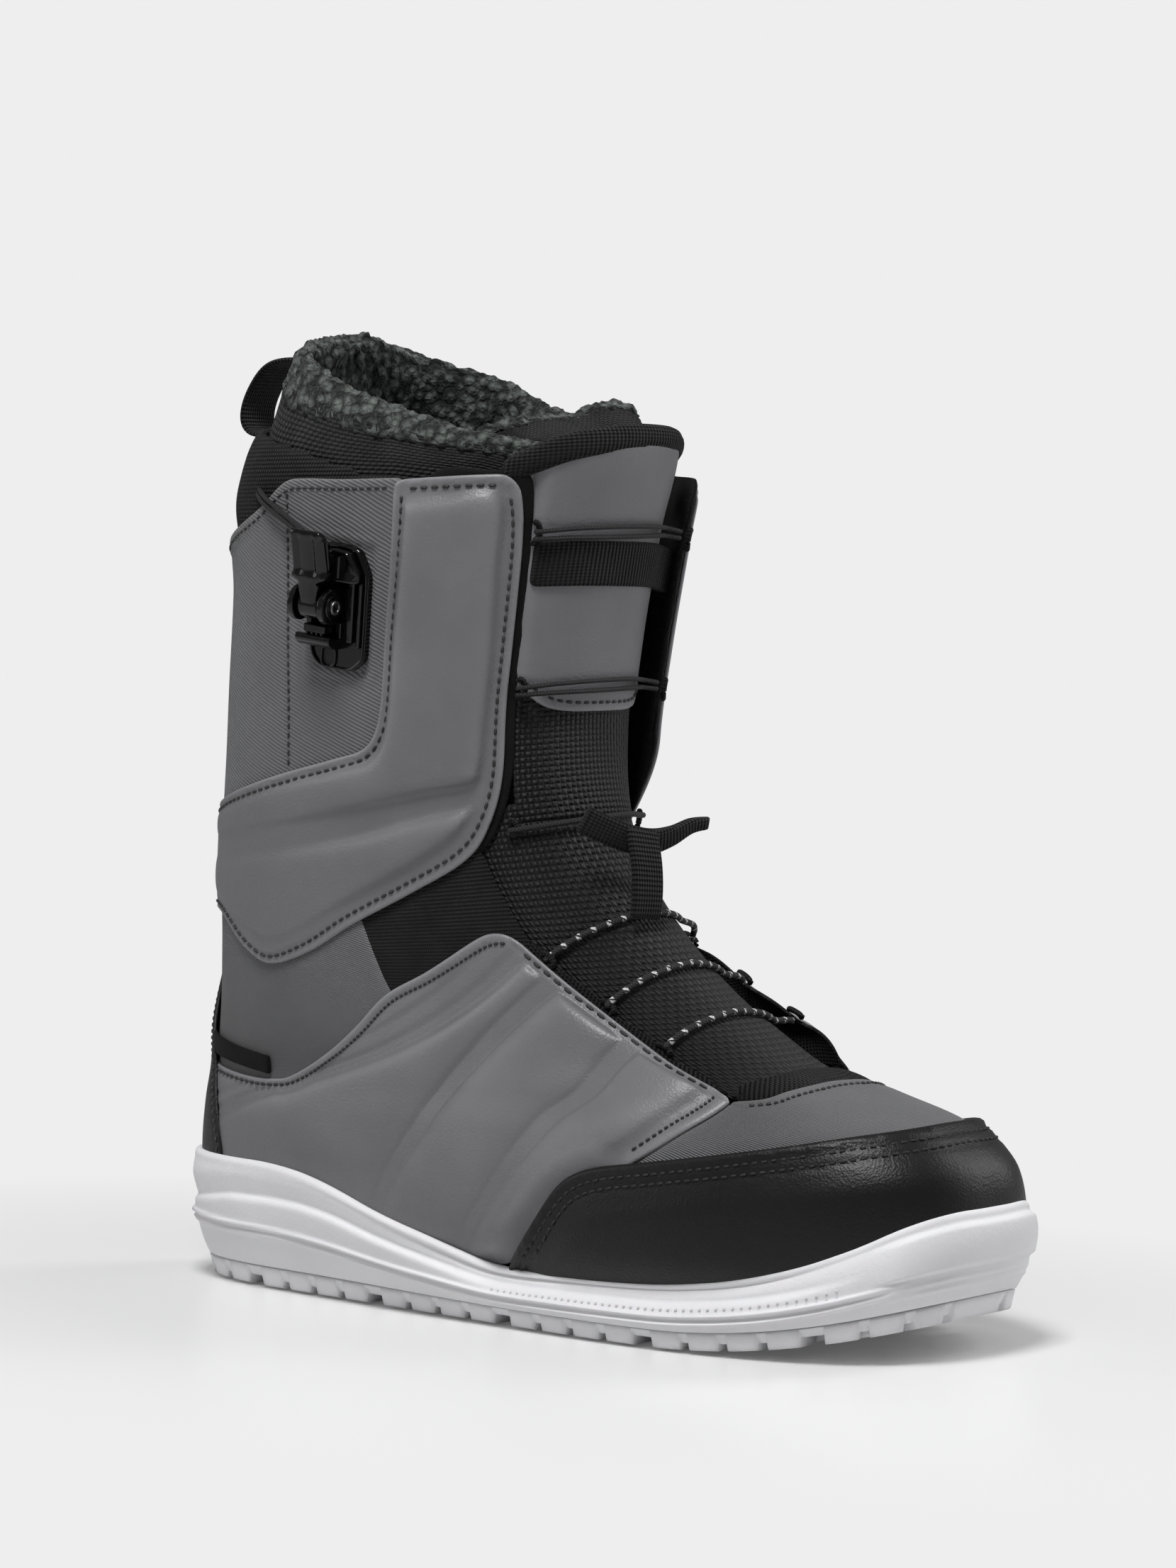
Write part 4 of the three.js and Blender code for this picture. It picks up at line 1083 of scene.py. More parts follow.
def lock_matrix():
    turn = Matrix((LOCK_X, LOCK_Y, LOCK_Z)).transposed().to_4x4()
    turn.translation = LOCK_CENTRE
    return turn


def build_uppers():
    """The leather and twill panels."""
    for side in (LATERAL, MEDIAL):
        cuff_panel(side)
        quarter_panel(side)
        rear_panels(side)
    vamp_and_rand()
    backstay()
    collar()


def oriented(edges, side):
    """The edges of an outline for one side. The medial outline runs the other way round, so edges are
    mirrored one by one and then put in the order in which they meet; edge numbers stay the same."""
    return [list(e) for e in edges] if side == LATERAL else [[(-u, v) for u, v in e] for e in edges]


def cuff_panel(side):
    back = [CUFF_INNER[-1], CUFF_OUTER[0]]
    sheet = Sheet(oriented([CUFF_OUTER, CUFF_TOP, CUFF_INNER, back], side), base=1.3,
                  relief=cuff_relief(side), spacing=1.4, shift=flare)
    sew(sheet, named(side, "cuff_panel"), "grey_leather", named(side, "cuff"))
    rows = [sheet.seam(k, STITCH_INSET) for k in (0, 1, 2)]
    stitches(named(side, "cuff_stitches"), sheet, rows, "flex")


def quarter_panel(side):
    outline = [QUARTER_TOP, QUARTER_FRONT, QUARTER_LOW_FRONT, QUARTER_FOOT, QUARTER_SOLE]
    sheet = Sheet(oriented(outline, side), base=1.0,
                  relief=quarter_relief(side), spacing=1.3, shift=throat_flare,
                  creases=[(sided(line, side), CHANNEL_HALF_WIDTH) for line in CHANNELS])
    sew(sheet, named(side, "quarter_panel"), "grey_leather", named(side, "quarter"))
    rows = [sheet.seam(k, STITCH_INSET) for k in (0, 1, 2)]
    stitches(named(side, "quarter_stitches"), sheet, rows, "flex")


def rear_panels(side):
    sheet = Sheet(oriented(strip_between(REAR_TOP, REAR_FOOT), side), base=0.0, thickness=1.2,
                  relief=rear_relief(side))
    sew(sheet, named(side, "cuff_rear_panel"), "grey_twill", named(side, "cuff_rear"))
    rows = [sheet.seam(0, STITCH_INSET), sheet.flat(spline(oriented([VERTICAL_SEAM], side)[0]))]
    stitches(named(side, "cuff_rear_stitches"), sheet, rows, "flex", pitch=2.9, radius=0.42)
    outline = strip_between(REAR_QUARTER_TOP, REAR_QUARTER_FOOT)
    sheet = Sheet(oriented(outline, side), base=-0.1, thickness=1.2, relief=soft(0.25, 22, 15))
    sew(sheet, named(side, "rear_quarter_panel"), "grey_twill", named(side, "rear_quarter"))
    sheet = Sheet(oriented(strip_between(GUSSET_EDGE, GUSSET_TOP), side), base=-0.4, thickness=1.2,
                  relief=soft(0.3, 20, 16))
    sew(sheet, named(side, "elastic_panel"), "elastic", named(side, "elastic_gusset"))


def vamp_and_rand():
    foot = [(-0.335, 2.30), (-0.20, 2.60), (-0.09, 2.86), (0, 2.95)]
    side_edge = [(-0.158, 4.08), (-0.25, 3.24), (-0.335, 2.42)]
    outline = [across_front(THROAT), mirror(side_edge)[::-1], mirror(foot)[::-1] + foot[-2::-1],
               side_edge[::-1]]
    sheet = Sheet(outline, base=0.0, thickness=1.2, relief=soft(0.18, 26, 17, (0,), THROAT_SEAM))
    sew(sheet, "vamp_panel", "grey_twill", "vamp")
    stitches("vamp_stitches", sheet, [sheet.seam(0, THROAT_SEAM)], "flex")
    bottom = [(0.490, 0.05), (0.3, 0.0), (0.1, 0.0), (-0.1, 0.0), (-0.3, 0.0), (-0.490, 0.05)]
    sheet = Sheet([across_front(RAND_TOP), bottom], base=2.5, thickness=2.4, relief=rand_relief, spacing=1.5)
    sew(sheet, "toe_rand_panel", "black_leather", "toe_rand")
    stitches("rand_stitches", sheet, [sheet.seam(0, inset) for inset in RAND_SEAMS], "flex", "black_thread")


def backstay():
    for node, low, high, base in (("backstay_lower", 0.3, 7.42, 2.2), ("backstay_upper", 7.30, 11.62, 1.2)):
        levels = np.linspace(low, high, 9)
        wide = 0.1 + 0.03 * smoothstep(-levels, -4.2, -1.5) - 0.045 * smoothstep(levels, 4.0, 7.0)
        left, right = list(zip(1 - wide, levels)), list(zip(1 + wide, levels))[::-1]
        sheet = Sheet([left, right], base=base, relief=soft(0.15, 18, 18, (0, 1), BACKSTAY_SEAM))
        sew(sheet, node + "_panel", "black_leather", node)
        stitches(node + "_stitches", sheet, [sheet.seam(k, BACKSTAY_SEAM) for k in (0, 1)], "flex")


def rear_top(u):
    """The level of the rear panels' top edge."""
    near = [-u for u, _ in REAR_TOP] + [1.0]
    return np.interp(np.abs(signed(u)), near, [v for _, v in REAR_TOP] + [REAR_TOP[-1][1]])


COLLAR_VOXEL, COLLAR_PRESSURE, COLLAR_CAP = 2.6, 2.5, 1.0
SIMULATED_FRAMES = 16
CLOTH_QUALITY, CLOTH_STIFFNESS, CLOTH_BENDING = 5, 18, 4


def inflated(piece, voxel, pressure, cap):
    """The padded piece, filled by cloth simulation. No point moves further than the cap, in millimetres."""
    remesh = piece.modifiers.new("remesh", "REMESH")
    remesh.mode, remesh.voxel_size = "VOXEL", voxel * MM
    applied(piece)
    start = np.empty(len(piece.data.vertices) * 3)
    piece.data.vertices.foreach_get("co", start)
    start = start.reshape(-1, 3)
    cloth = piece.modifiers.new("cloth", "CLOTH")
    cloth.settings.use_pressure = True
    cloth.settings.uniform_pressure_force = pressure
    cloth.settings.effector_weights.gravity = 0
    cloth.settings.quality = CLOTH_QUALITY
    cloth.settings.tension_stiffness = cloth.settings.compression_stiffness = CLOTH_STIFFNESS
    cloth.settings.bending_stiffness = CLOTH_BENDING
    cloth.point_cache.frame_start, cloth.point_cache.frame_end = 1, SIMULATED_FRAMES
    for moment in range(1, SIMULATED_FRAMES + 1):
        bpy.context.scene.frame_set(moment)
    graph = bpy.context.evaluated_depsgraph_get()
    swollen = piece.evaluated_get(graph).to_mesh()
    end = np.empty(len(start) * 3)
    swollen.vertices.foreach_get("co", end)
    move = end.reshape(-1, 3) - start
    length = np.linalg.norm(move, axis=1, keepdims=True) + 1e-12
    end = start + move * np.minimum(1, cap * MM / length)
    piece.modifiers.clear()
    bpy.context.scene.frame_set(1)
    piece.data.vertices.foreach_set("co", end.ravel())
    smooth = piece.modifiers.new("smooth", "SUBSURF")
    smooth.levels = smooth.render_levels = 1
    applied(piece)
    piece.data.shade_smooth()
    return piece


def collar():
    foot = [(u, rear_top(u) - 0.22) for u in np.linspace(0.40, 1.60, 13)]
    half = [(0.38, 11.72), (0.46, 11.92), (0.58, 12.18), (0.72, 12.36), (0.86, 12.45), (1, 12.48)]
    top = [(2 - u, v) for u, v in half[:-1]] + half[::-1]

    def relief(sheet, points, u, v, edge):
        above = smoothstep(v - rear_top(u), 0.0, 0.45)
        return above * puff(edge, 2.6, 4.0) + 0.35 * value_noise(form.on(u, v), 12, 19)

    sheet = Sheet([foot, top], base=-2.7, thickness=2.6, relief=relief)
    piece = sheet.build("collar_pad", LOOKS["collar"])
    piece = inflated(piece, COLLAR_VOXEL, COLLAR_PRESSURE, COLLAR_CAP)
    install(piece, "collar")


# ---- the sole ----
SOLE_ROW = np.array([-80, 0, 220, 0, 38, 52, 3.3, 4], float)     # ground outline, as a row of the form
SOLE_EDGE_U = [0, 0.07, 0.138, 0.219, 0.312, 0.49, 0.56, 0.64, 0.706, 0.775, 1]
SOLE_EDGE_V = [1.55, 1.56, 0.96, 0.4, 0.05, 0.02, 0.6, 1.05, 1.5, 1.75, 1.8]
SOLE_FOOT = 5.0             # height at which the side starts to swell
SOLE_PROUD = 4.5            # how far the sole's top edge stands off the upper
SOLE_SWELL = 3.0            # how far the side bulges half way up
TREAD_SEAM = 0.012          # the tread's top lies this much below the parting
TREAD_SHELF = 2.5           # how far the tread's top reaches in under the midsole
PARTING = 0.055             # where the tread meets the midsole, as a part of the side's height
LUG_REACH = 13.0
PLATE_HEIGHT = 3.0
LUG_PERIOD, FIRST_GAP = 58.8, 55.7
WIDE_GAP, NARROW_GAP, LUG = 7.8, 3.5, 10.05
SIDE_ROWS = 46
EDGE_EASE = np.linspace(-0.035, 0.035, 9)
# rings of the midsole's rounded lip (offset from the form, levels over its edge), of the cup inside it
# (part of the edge's level), and of the lugs' face (inset from the outline, lift)
LIP_RINGS = ((4.2, 0.045), (3.6, 0.075), (2.8, 0.085), (2.0, 0.07), (1.2, 0.02))
CUP_RINGS = (0.8, 0.5, 0.2)
LUG_RINGS = ((0.3, 0.3), (1.0, 0.0), (4.0, 0.0), (8.0, 0.0), (LUG_REACH - 0.8, 0.0), (LUG_REACH, 0.6))


def sole_edge(u):
    """The level that the sole's top edge reaches, eased over its corners."""
    near = np.abs(signed(u))
    eased_over = [np.interp(np.abs(near + shift), SOLE_EDGE_U, SOLE_EDGE_V) for shift in EDGE_EASE]
    return sum(eased_over) / len(EDGE_EASE)


def rise_at(x):
    """Height of the curved tread over the ground."""
    toe = np.clip(x - 135, 0, None) / 93
    heel = np.clip(-70 - x, 0, None) / 16
    return 14 * toe ** 2 + 2 * heel ** 2


def ground_outline(u, inset=0.0):
    """Points on the outline of the sole, inset by a distance."""
    inset = np.asarray(inset, float)
    ring, _ = whole_ring(SOLE_ROW)
    place = (signed(u) + 1) / 2 * (len(ring) - 1)
    index = np.arange(len(ring))
    run = np.gradient(np.concatenate([ring[-3:-1], ring, ring[1:3]]), axis=0)[2:-2]
    away = np.c_[left_of(run), 0 * run[:, 0]]
    centre = ring.mean(0)
    if ((ring - centre) * away).sum() < 0:
        away = -away
    at = np.stack([np.interp(place, index, ring[:, k]) for k in range(3)], -1)
    out = np.stack([np.interp(place, index, away[:, k]) for k in range(3)], -1)
    return at - out * inset[..., None], out


def tread_gaps(length):
    """Where the gaps between edge lugs lie along one side, measured from the heel: middle, width, depth."""
    gaps = []
    start = FIRST_GAP - LUG_PERIOD
    while start < length:
        gaps.append((start, WIDE_GAP, PLATE_HEIGHT))
        step = WIDE_GAP / 2 + LUG + NARROW_GAP / 2
        gaps += [(start + step + k * (LUG + NARROW_GAP), NARROW_GAP, 2.2) for k in range(3)]
        start += LUG_PERIOD
    return [g for g in gaps if 6 < g[0] < length - 5]


def tread_columns():
    """Stations along one side, from the heel, with the height of the tread's edge at each."""
    _, length = half_ring(SOLE_ROW, LATERAL)
    gaps = tread_gaps(length)
    wall = 0.3
    places = {0.0: 0.0, float(length): 0.0}
    for middle, width, depth in gaps:
        for side in (-1, 1):
            places[middle + side * width / 2] = 0.0
            places[middle + side * (width / 2 - wall)] = depth
    knots = sorted(places)
    along, height = [], []
    for a, b in zip(knots[:-1], knots[1:]):
        count = max(1, int(round((b - a) / 1.8)))
        for k in range(count):
            along.append(a + (b - a) * k / count)
            height.append(places[a] + (places[b] - places[a]) * k / count)
    along.append(knots[-1])
    height.append(0.0)
    return np.array(along) / length, np.array(height)


def side_wall(u, fraction, extra=0.0):
    """A point on the side of the sole, from its foot (0) to its top edge (1)."""
    foot, out = ground_outline(u)
    foot = foot + np.stack([0 * foot[:, 0], 0 * foot[:, 0], rise_at(foot[:, 0]) + SOLE_FOOT], -1)
    edge = sole_edge(u)
    top = form.at(u, edge, SOLE_PROUD)
    swell = SOLE_SWELL * np.clip(1 - np.abs(2 * fraction - 0.95) ** 2.6, 0, None)
    point = foot + (top - foot) * np.asarray(fraction)[..., None] + out * swell[..., None]
    level = level_at_height(u, point[:, 2])
    upper = form.at(u, level, np.full(len(u), SOLE_PROUD))
    short = ((upper - point) * out).sum(-1) * smoothstep(level, 0.0, 0.35)
    point = point + out * (np.clip(short, 0, None) + extra)[..., None]
    return point, np.linalg.norm(top - foot, axis=-1)


def level_at_height(u, height):
    """The form's level at a height over the ground, column by column."""
    levels = np.linspace(0, 2.2, 23)
    heights = np.stack([form.on(u, np.full(len(u), v))[:, 2] for v in levels])
    return np.array([np.interp(h, column, levels) for h, column in zip(height, heights.T)])


def side_detail(u, fraction, height):
    """The raised line and the crease that run round the side of the sole."""
    near = np.abs(signed(u))
    line = np.interp(near, [0, 0.3, 0.85, 1], [0.36, 0.33, 0.40, 0.44])
    below = (fraction - line) * height
    raised = ridge(below - 1.2, 1.5, 0.7) + ridge(below + 1.4, 1.3, 0.7)
    crease = np.interp(near, [0, 0.3, 0.7, 0.85, 1], [0.66, 0.67, 0.74, 0.70, 0.50])
    above = (fraction - crease) * height
    fade = smoothstep(near, 0.10, 0.22) * (1 - 0.3 * smoothstep(near, 0.80, 0.97))
    step = -1.7 * smoothstep(above, -1.2, 1.2) * smoothstep(-above, -9, -1) + groove(above, 0.7, 1.3)
    detail = raised * smoothstep(near, 0.05, 0.16) + step * fade
    bumper = smoothstep(-near, -0.115, -0.09)
    lip = 1.6 * bumper * smoothstep(fraction, 0.42, 0.5) * smoothstep(-fraction, -0.97, -0.9)
    bands = bumper * sum(ridge((fraction - place) * height, 0.5, 0.8) for place in (0.34, 0.24))
    return detail + lip + bands


def closing_rungs(start, count, up):
    """Quads across a closed ring whose points mirror each other."""
    half = count // 2
    faces = []
    for i in range(half):
        a, b = start + i, start + (i + 1) % count
        c, d = start + (count - i - 1) % count, start + (count - i) % count
        quad = [a, b, c, d]
        quad = [p for k, p in enumerate(quad) if p not in quad[:k]]
        if len(quad) > 2:
            faces.append(tuple(quad if up else quad[::-1]))
    return faces


def ring_solid(name, rings, look):
    """A closed skin through stacked rings, with rungs across the first and the last."""
    count = len(rings[0])
    faces = grid_faces(len(rings), count, True)
    faces += closing_rungs(0, count, False) + closing_rungs((len(rings) - 1) * count, count, True)
    points = np.concatenate(rings)
    return mesh_object(name, points, faces, look, points[:, :2])


def sole():
    along, gap = tread_columns()
    u = np.r_[along - 1, (1 - along)[-2:0:-1]]
    midsole(u)
    outsole(u, np.r_[gap, gap[-2:0:-1]])
    sole_dots()


def midsole(u):
    """The side, a rounded lip, and the cup that holds the upper."""
    rings = []
    for fraction in np.linspace(PARTING, 1, SIDE_ROWS):
        f = np.full(len(u), fraction)
        _, height = side_wall(u, f)
        rings.append(side_wall(u, f, side_detail(u, f, height) * smoothstep(1 - f, 0, 0.05))[0])
    edge = sole_edge(u)
    for offset, lift in LIP_RINGS:
        rings.append(form.at(u, edge + lift, offset))
    for part in CUP_RINGS:
        rings.append(form.at(u, edge * part, 0.6))
    floor = form.at(u, 0 * u, 0.4)
    floor[:, 2] -= 1.2
    rings.append(floor)
    piece = ring_solid("midsole_body", rings, LOOKS["rubber"])
    install(piece, "midsole", "foot")


def outsole(u, drop):
    """The tread: its edge, the ring of lugs, and the plate between them. drop is how deep the edge is cut."""
    seam = np.full(len(u), PARTING - TREAD_SEAM)
    top = side_wall(u, seam)[0]
    inner = side_wall(u, seam, np.full(len(u), -TREAD_SHELF))[0]
    ground, _ = ground_outline(u)
    rise = rise_at(ground[:, 0])
    rings = [inner, top]
    for part in (0.25, 0.5, 0.75, 1.0):
        row = top * (1 - part) + ground * part
        row[:, 2] = top[:, 2] * (1 - part) + (rise + drop + 1.0) * part
        rings.append(row)
    for inset, lift in LUG_RINGS:
        row, _ = ground_outline(u, np.full(len(u), inset))
        row[:, 2] = rise_at(row[:, 0]) + np.maximum(drop, 0) + lift
        rings.append(row)
    row, _ = ground_outline(u, np.full(len(u), LUG_REACH + 0.4))
    row[:, 2] = rise_at(row[:, 0]) + PLATE_HEIGHT
    rings.append(row)
    tread = ring_solid("outsole_tread", rings, LOOKS["rubber"])
    lugs = [tread] + [inner_lug(x, y, size) for x, y, size in lug_places()]
    piece = join("outsole_tread", lugs)
    install(piece, "outsole", "foot")


def lug_places():
    """Middle lugs: rows of three under the heel and the ball, one row under the arch."""
    places = []
    for x in np.arange(-58, 196, 21.0):
        wide = 0 < x < 50
        for k in (-1, 0, 1):
            if wide and k:
                continue
            half = np.interp(x, [-60, 0, 60, 190], [15, 0, 22, 22])
            places.append((x + (0 if k == 0 else 6), 2 + k * half, 7.5 if k == 0 else 6.0))
    return places


def inner_lug(x, y, size):
    """A six-sided block that stands down from the plate."""
    angles = np.arange(6) * np.pi / 3
    outline = np.stack([x + size * 1.1 * np.cos(angles), y + size * np.sin(angles)], -1)
    block = prism("lug", outline, lambda p: rise_at(p[:, 0]), lambda p: rise_at(p[:, 0]) + PLATE_HEIGHT + 1,
                  LOOKS["rubber"])
    return bevelled(block, 0.7, 2)


def prism(name, outline, low, high, look):
    """An outline in x and y, stood up between two heights, each a number or a function of the points."""
    outline = np.asarray(outline, float)
    count = len(outline)
    heights = [h(outline) if callable(h) else np.full(count, float(h)) for h in (low, high)]
    points = np.concatenate([np.c_[outline, h] for h in heights])
    faces = grid_faces(2, count, True) + end_faces(2, count)
    piece = mesh_object(name, points, faces, look, points[:, :2])
    piece.data.shade_flat()
    return piece


def sole_dots():
    """Two rows of small studs along the forefoot, between the raised line and the crease."""
    points, faces = [], []
    for side in (LATERAL, MEDIAL):
        for fraction in (0.46, 0.55):
            u = side * np.linspace(0.14, 0.50, 46)
            centre = side_wall(u, np.full(len(u), fraction))[0]
            out = ground_outline(u)[1]
            for c, o in zip(centre, out):
                start = len(points)
                across = np.cross(o, (0, 0, 1))
                for ring, lift in ((0.55, -0.25), (0.42, 0.22)):
                    for k in range(6):
                        t = k * np.pi / 3
                        aside = np.cos(t) * across + np.array([0, 0, np.sin(t)])
                        points.append(c + o * lift + ring * aside)
                points.append(c + o * 0.38)
                faces += grid_faces(2, 6, True, start)
                faces += [(start + 6 + k, start + 6 + (k + 1) % 6, start + 12) for k in range(6)]
                faces.append(tuple(start + k for k in reversed(range(6))))
    piece = mesh_object("sole_studs", points, faces, LOOKS["rubber"])
    install(piece, None, "foot")


# ---- tongue and throat ----
TONGUE_SIDE, UPPER_SIDE = 0.150, 0.156
GUSSET_SIDE, GUSSET_LEVEL = 0.255, 10.0
BINDING_ENDS = (-0.225, 0.205)
SHIELD_LEFT = -0.196
STRAP_ENDS = (-0.153, 0.186)
# the bound top edge of the tongue: where its foot and its top run
BINDING_FOOT_AT, BINDING_FOOT = [-0.24, -0.119, -0.02, 0.125, 0.21], [11.40, 11.62, 11.70, 11.73, 11.65]
BINDING_TOP_AT, BINDING_TOP = [-0.24, -0.125, -0.02, 0.094, 0.21], [11.66, 11.90, 11.97, 11.97, 11.88]


def band(left, right, low, high):
    """The closed outline of a strip across the front, between two levels given at each u."""
    us = np.linspace(left, right, 9)
    bottom = [(u, low(u)) for u in us]
    top = [(u, high(u)) for u in us[::-1]]
    return strip_between(bottom, top)


def low_tongue(sheet, points, u, v, edge):
    """The lower tongue is crowned, and sinks under the throat's edge at its foot."""
    return crowned(u, 3.4, 0.20) * smoothstep(v, 4.3, 5.5) + 0.5 * value_noise(form.on(u, v), 30, 21)


def lower_tongue():
    half = [(-0.15, 4.30), (-0.178, 5.0), (-0.205, 5.8), (-0.238, 6.5), (-0.255, 7.2), (-0.245, 7.8),
            (-0.215, 8.25)]
    foot = [(-0.14, 4.25), (0, 4.40), (0.14, 4.25)]
    outline = [foot, mirror(half)[::-1], [(0.20, 8.28), (0, 8.3), (-0.20, 8.28)], half[::-1]]
    sheet = Sheet(outline, base=-1.9, thickness=2.2, relief=low_tongue, spacing=1.9)
    sew(sheet, "tongue_lower_panel", "ballistic", "tongue_lower")


def upper_tongue():
    side = UPPER_SIDE
    sheet = Sheet(band(-side, side, lambda u: 8.06, lambda u: 11.62 + 0.2 * (1 - (u / side) ** 2)),
                  base=-1.4, thickness=2.6, relief=soft(0.35, 30, 22, crown=3.6), spacing=1.9)
    sew(sheet, "tongue_upper_panel", "ballistic", "tongue_upper", "upper_tongue")


def shield():
    shield_low = (lambda u: 9.24 + 0.26 * np.minimum(np.abs(u) / TONGUE_SIDE, 1.05) ** 4)
    shield_high = (lambda u: 0.13 + np.interp(u, BINDING_FOOT_AT, BINDING_FOOT))
    even = soft(0.12, 34, 23, (0,), crown=3.8)

    def shield_relief(sheet, points, u, v, edge):
        return even(sheet, points, u, v, edge) - 2.6 * smoothstep(-signed(u), 0.145, 0.185)

    sheet = Sheet(band(SHIELD_LEFT, UPPER_SIDE, shield_low, shield_high), base=0.2, thickness=1.5,
                  relief=shield_relief, corner=2.2)
    sew(sheet, "tongue_shield_panel", "grey_leather", "tongue_shield", "upper_tongue")
    stitches("shield_stitches", sheet, [sheet.seam(0, STITCH_INSET)], "upper_tongue")


def bound_edge():
    us = np.linspace(*BINDING_ENDS, 15)
    outline = [[(u, np.interp(u, BINDING_FOOT_AT, BINDING_FOOT)) for u in us],
               [(u, np.interp(u, BINDING_TOP_AT, BINDING_TOP)) for u in us[::-1]]]

    def rolled(sheet, points, u, v, edge):
        return puff(edge, 2.0, 1.3) + crowned(u, 3.2, 0.2)

    sheet = Sheet(outline, base=-0.6, thickness=3.4, relief=rolled, spacing=1.5)
    sew(sheet, "tongue_binding_band", "binding", "tongue_binding", "upper_tongue")


def strap():
    def taut(sheet, points, u, v, edge):
        lifted = 5.0 * smoothstep(signed(u), 0.115, 0.19)
        return crowned(u, 3.8, 0.17) + lifted + 0.1 * value_noise(form.on(u, v), 14, 24)

    sheet = Sheet(band(*STRAP_ENDS, lambda u: 10.50 - 0.1 * u, lambda u: 10.92 - 0.1 * u), base=1.4,
                  thickness=1.2, relief=taut)
    sew(sheet, "tongue_strap_band", "webbing", "tongue_strap", "upper_tongue")


def tongue_gussets():
    """Thin cloth between the tongue and the cuff's flaps."""
    for side in (LATERAL, MEDIAL):
        inner, outer = side * (TONGUE_SIDE - 0.004), side * GUSSET_SIDE
        sheet = Sheet(band(*sorted((inner, outer)), lambda u: 8.1, lambda u: 11.45), base=-4.2, thickness=1.0,
                      relief=soft(0.3, 16, 25), spacing=2.4)
        gusset = sheet.build(named(side, "tongue_gusset"), LOOKS["lining"])
        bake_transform(gusset)


def throat_binding():
    """The ribbed band inside the edge of the vamp's throat."""
    outer = [(u, v - 0.04) for u, v in across_front(THROAT)]
    inner = [(0.128, 4.46), (0.08, 4.70), (0, 4.86), (-0.08, 4.70), (-0.128, 4.46)]
    sheet = Sheet([outer, inner], base=-0.4, thickness=1.8,
                  relief=lambda sheet, points, u, v, edge: puff(edge, 1.0, 1.4))
    sew(sheet, "throat_binding", "binding", None)


# ---- linings and lace guides ----
UPPER_ROWS = (11.02, 9.52, 8.02)        # the levels at which the laces cross, from the top down
LOWER_ROWS = (6.45, 5.85, 5.22)


def facing(side):
    """The black inner layer of the cuff's front flap, a little wider than the leather."""
    edge = [(-0.275, 7.55), (-0.235, 7.74), (-0.192, 8.0), (-0.157, 8.6), (-0.153, 9.6), (-0.153, 10.4),
            (-0.158, 11.1), (-0.172, 11.52), (-0.20, 11.60)]
    back = [(-0.235, 11.62), (-0.34, 11.6), (-0.36, 10), (-0.36, 9.0), (-0.36, 8.0), (-0.31, 7.6)]

    def puckered(sheet, points, u, v, edge):
        return 0.35 * value_noise(form.on(u, v), 5, 31) + puff(edge, 0.5, 0.8)

    sheet = Sheet(oriented([edge, back], side), base=-0.9, thickness=1.0, relief=puckered, shift=flare,
                  spacing=2.0)
    sew(sheet, named(side, "cuff_facing"), "lining", named(side, "cuff_lace_guide"))
    loops = [lace_loop(sheet, side * u, v, 7.0) for u, v in zip((0.158, 0.153, 0.168), UPPER_ROWS)]
    piece = join(named(side, "cuff_lace_loops"), loops)
    install(piece, None)


def lower_guide(side):
    """The scalloped black edge inside the quarter, with a loop for each lace."""
    levels = np.linspace(4.3, 6.75, 60)
    edge_v, edge_u = [v for _, v in QUARTER_FRONT[::-1]], [u for u, _ in QUARTER_FRONT[::-1]]
    scallop = np.abs(np.sin((levels - 4.45) * math.pi / 0.66))
    inner = list(zip(np.interp(levels, edge_v, edge_u) + 0.008 + 0.014 * scallop, levels))
    outer = [(-0.285, 6.6), (-0.25, 5.8), (-0.22, 5.0), (-0.21, 4.3)]
    sheet = Sheet(oriented([inner, outer], side), base=-0.45, thickness=1.2, relief=soft(0.25, 8, 32),
                  corner=0.9, shift=throat_flare)
    sew(sheet, named(side, "lower_facing"), "webbing", named(side, "lower_lace_guide"))
    loops = [lace_loop(sheet, side * u, v, 6.0) for u, v in zip((0.196, 0.160, 0.142), LOWER_ROWS)]
    piece = join(named(side, "lower_lace_loops"), loops)
    install(piece, None)


def lace_loop(sheet, u, v, size):
    """A small flat loop of cord that stands out from an edge towards the tongue."""
    inward = -np.sign(u)
    t = np.linspace(-math.pi / 2, math.pi / 2, 14)
    across = u + inward * (0.30 * size * np.cos(t)) / form.width_at(v)
    level = v + 0.42 * size * np.sin(t) / 30
    centre = form.at(across, level, sheet.shift(across, level) + 0.2)
    return cord_piece("loop", centre, 0.95, LOOKS["webbing"])


CORD_SIDES, CORD_SPACING = 10, 0.8
CORD_UP = (0.35, -0.25, 0.9)                # a direction that no cord runs along
CORD_END = ((0.35, 0.6), (0.75, 0.18))      # girth and reach of the rings that round a cord's end, in radii


def cord_piece(name, centre, radius, look):
    """A cord along a line, closed with rounded ends."""
    centre = evenly(spline(centre), CORD_SPACING)
    ahead = unit(np.gradient(centre, axis=0))
    across = unit(np.cross(ahead, CORD_UP))
    normal = np.cross(across, ahead)
    along = lengths_along(centre)
    points, uv = [], []
    start = [(0, girth, -reach) for girth, reach in CORD_END]
    stop = [(-1, girth, reach) for girth, reach in reversed(CORD_END)]
    ends = start + [(k, 1.0, 0.0) for k in range(len(centre))] + stop
    for k, girth, reach in ends:
        middle = centre[k] + ahead[k] * reach * radius
        for m in range(CORD_SIDES):
            t = 2 * math.pi * m / CORD_SIDES
            points.append(middle + radius * girth * (math.cos(t) * across[k] + math.sin(t) * normal[k]))
            uv.append((radius * t, along[k]))
    faces = grid_faces(len(ends), CORD_SIDES, True) + end_faces(len(ends), CORD_SIDES)
    return mesh_object(name, points, faces, look, uv)


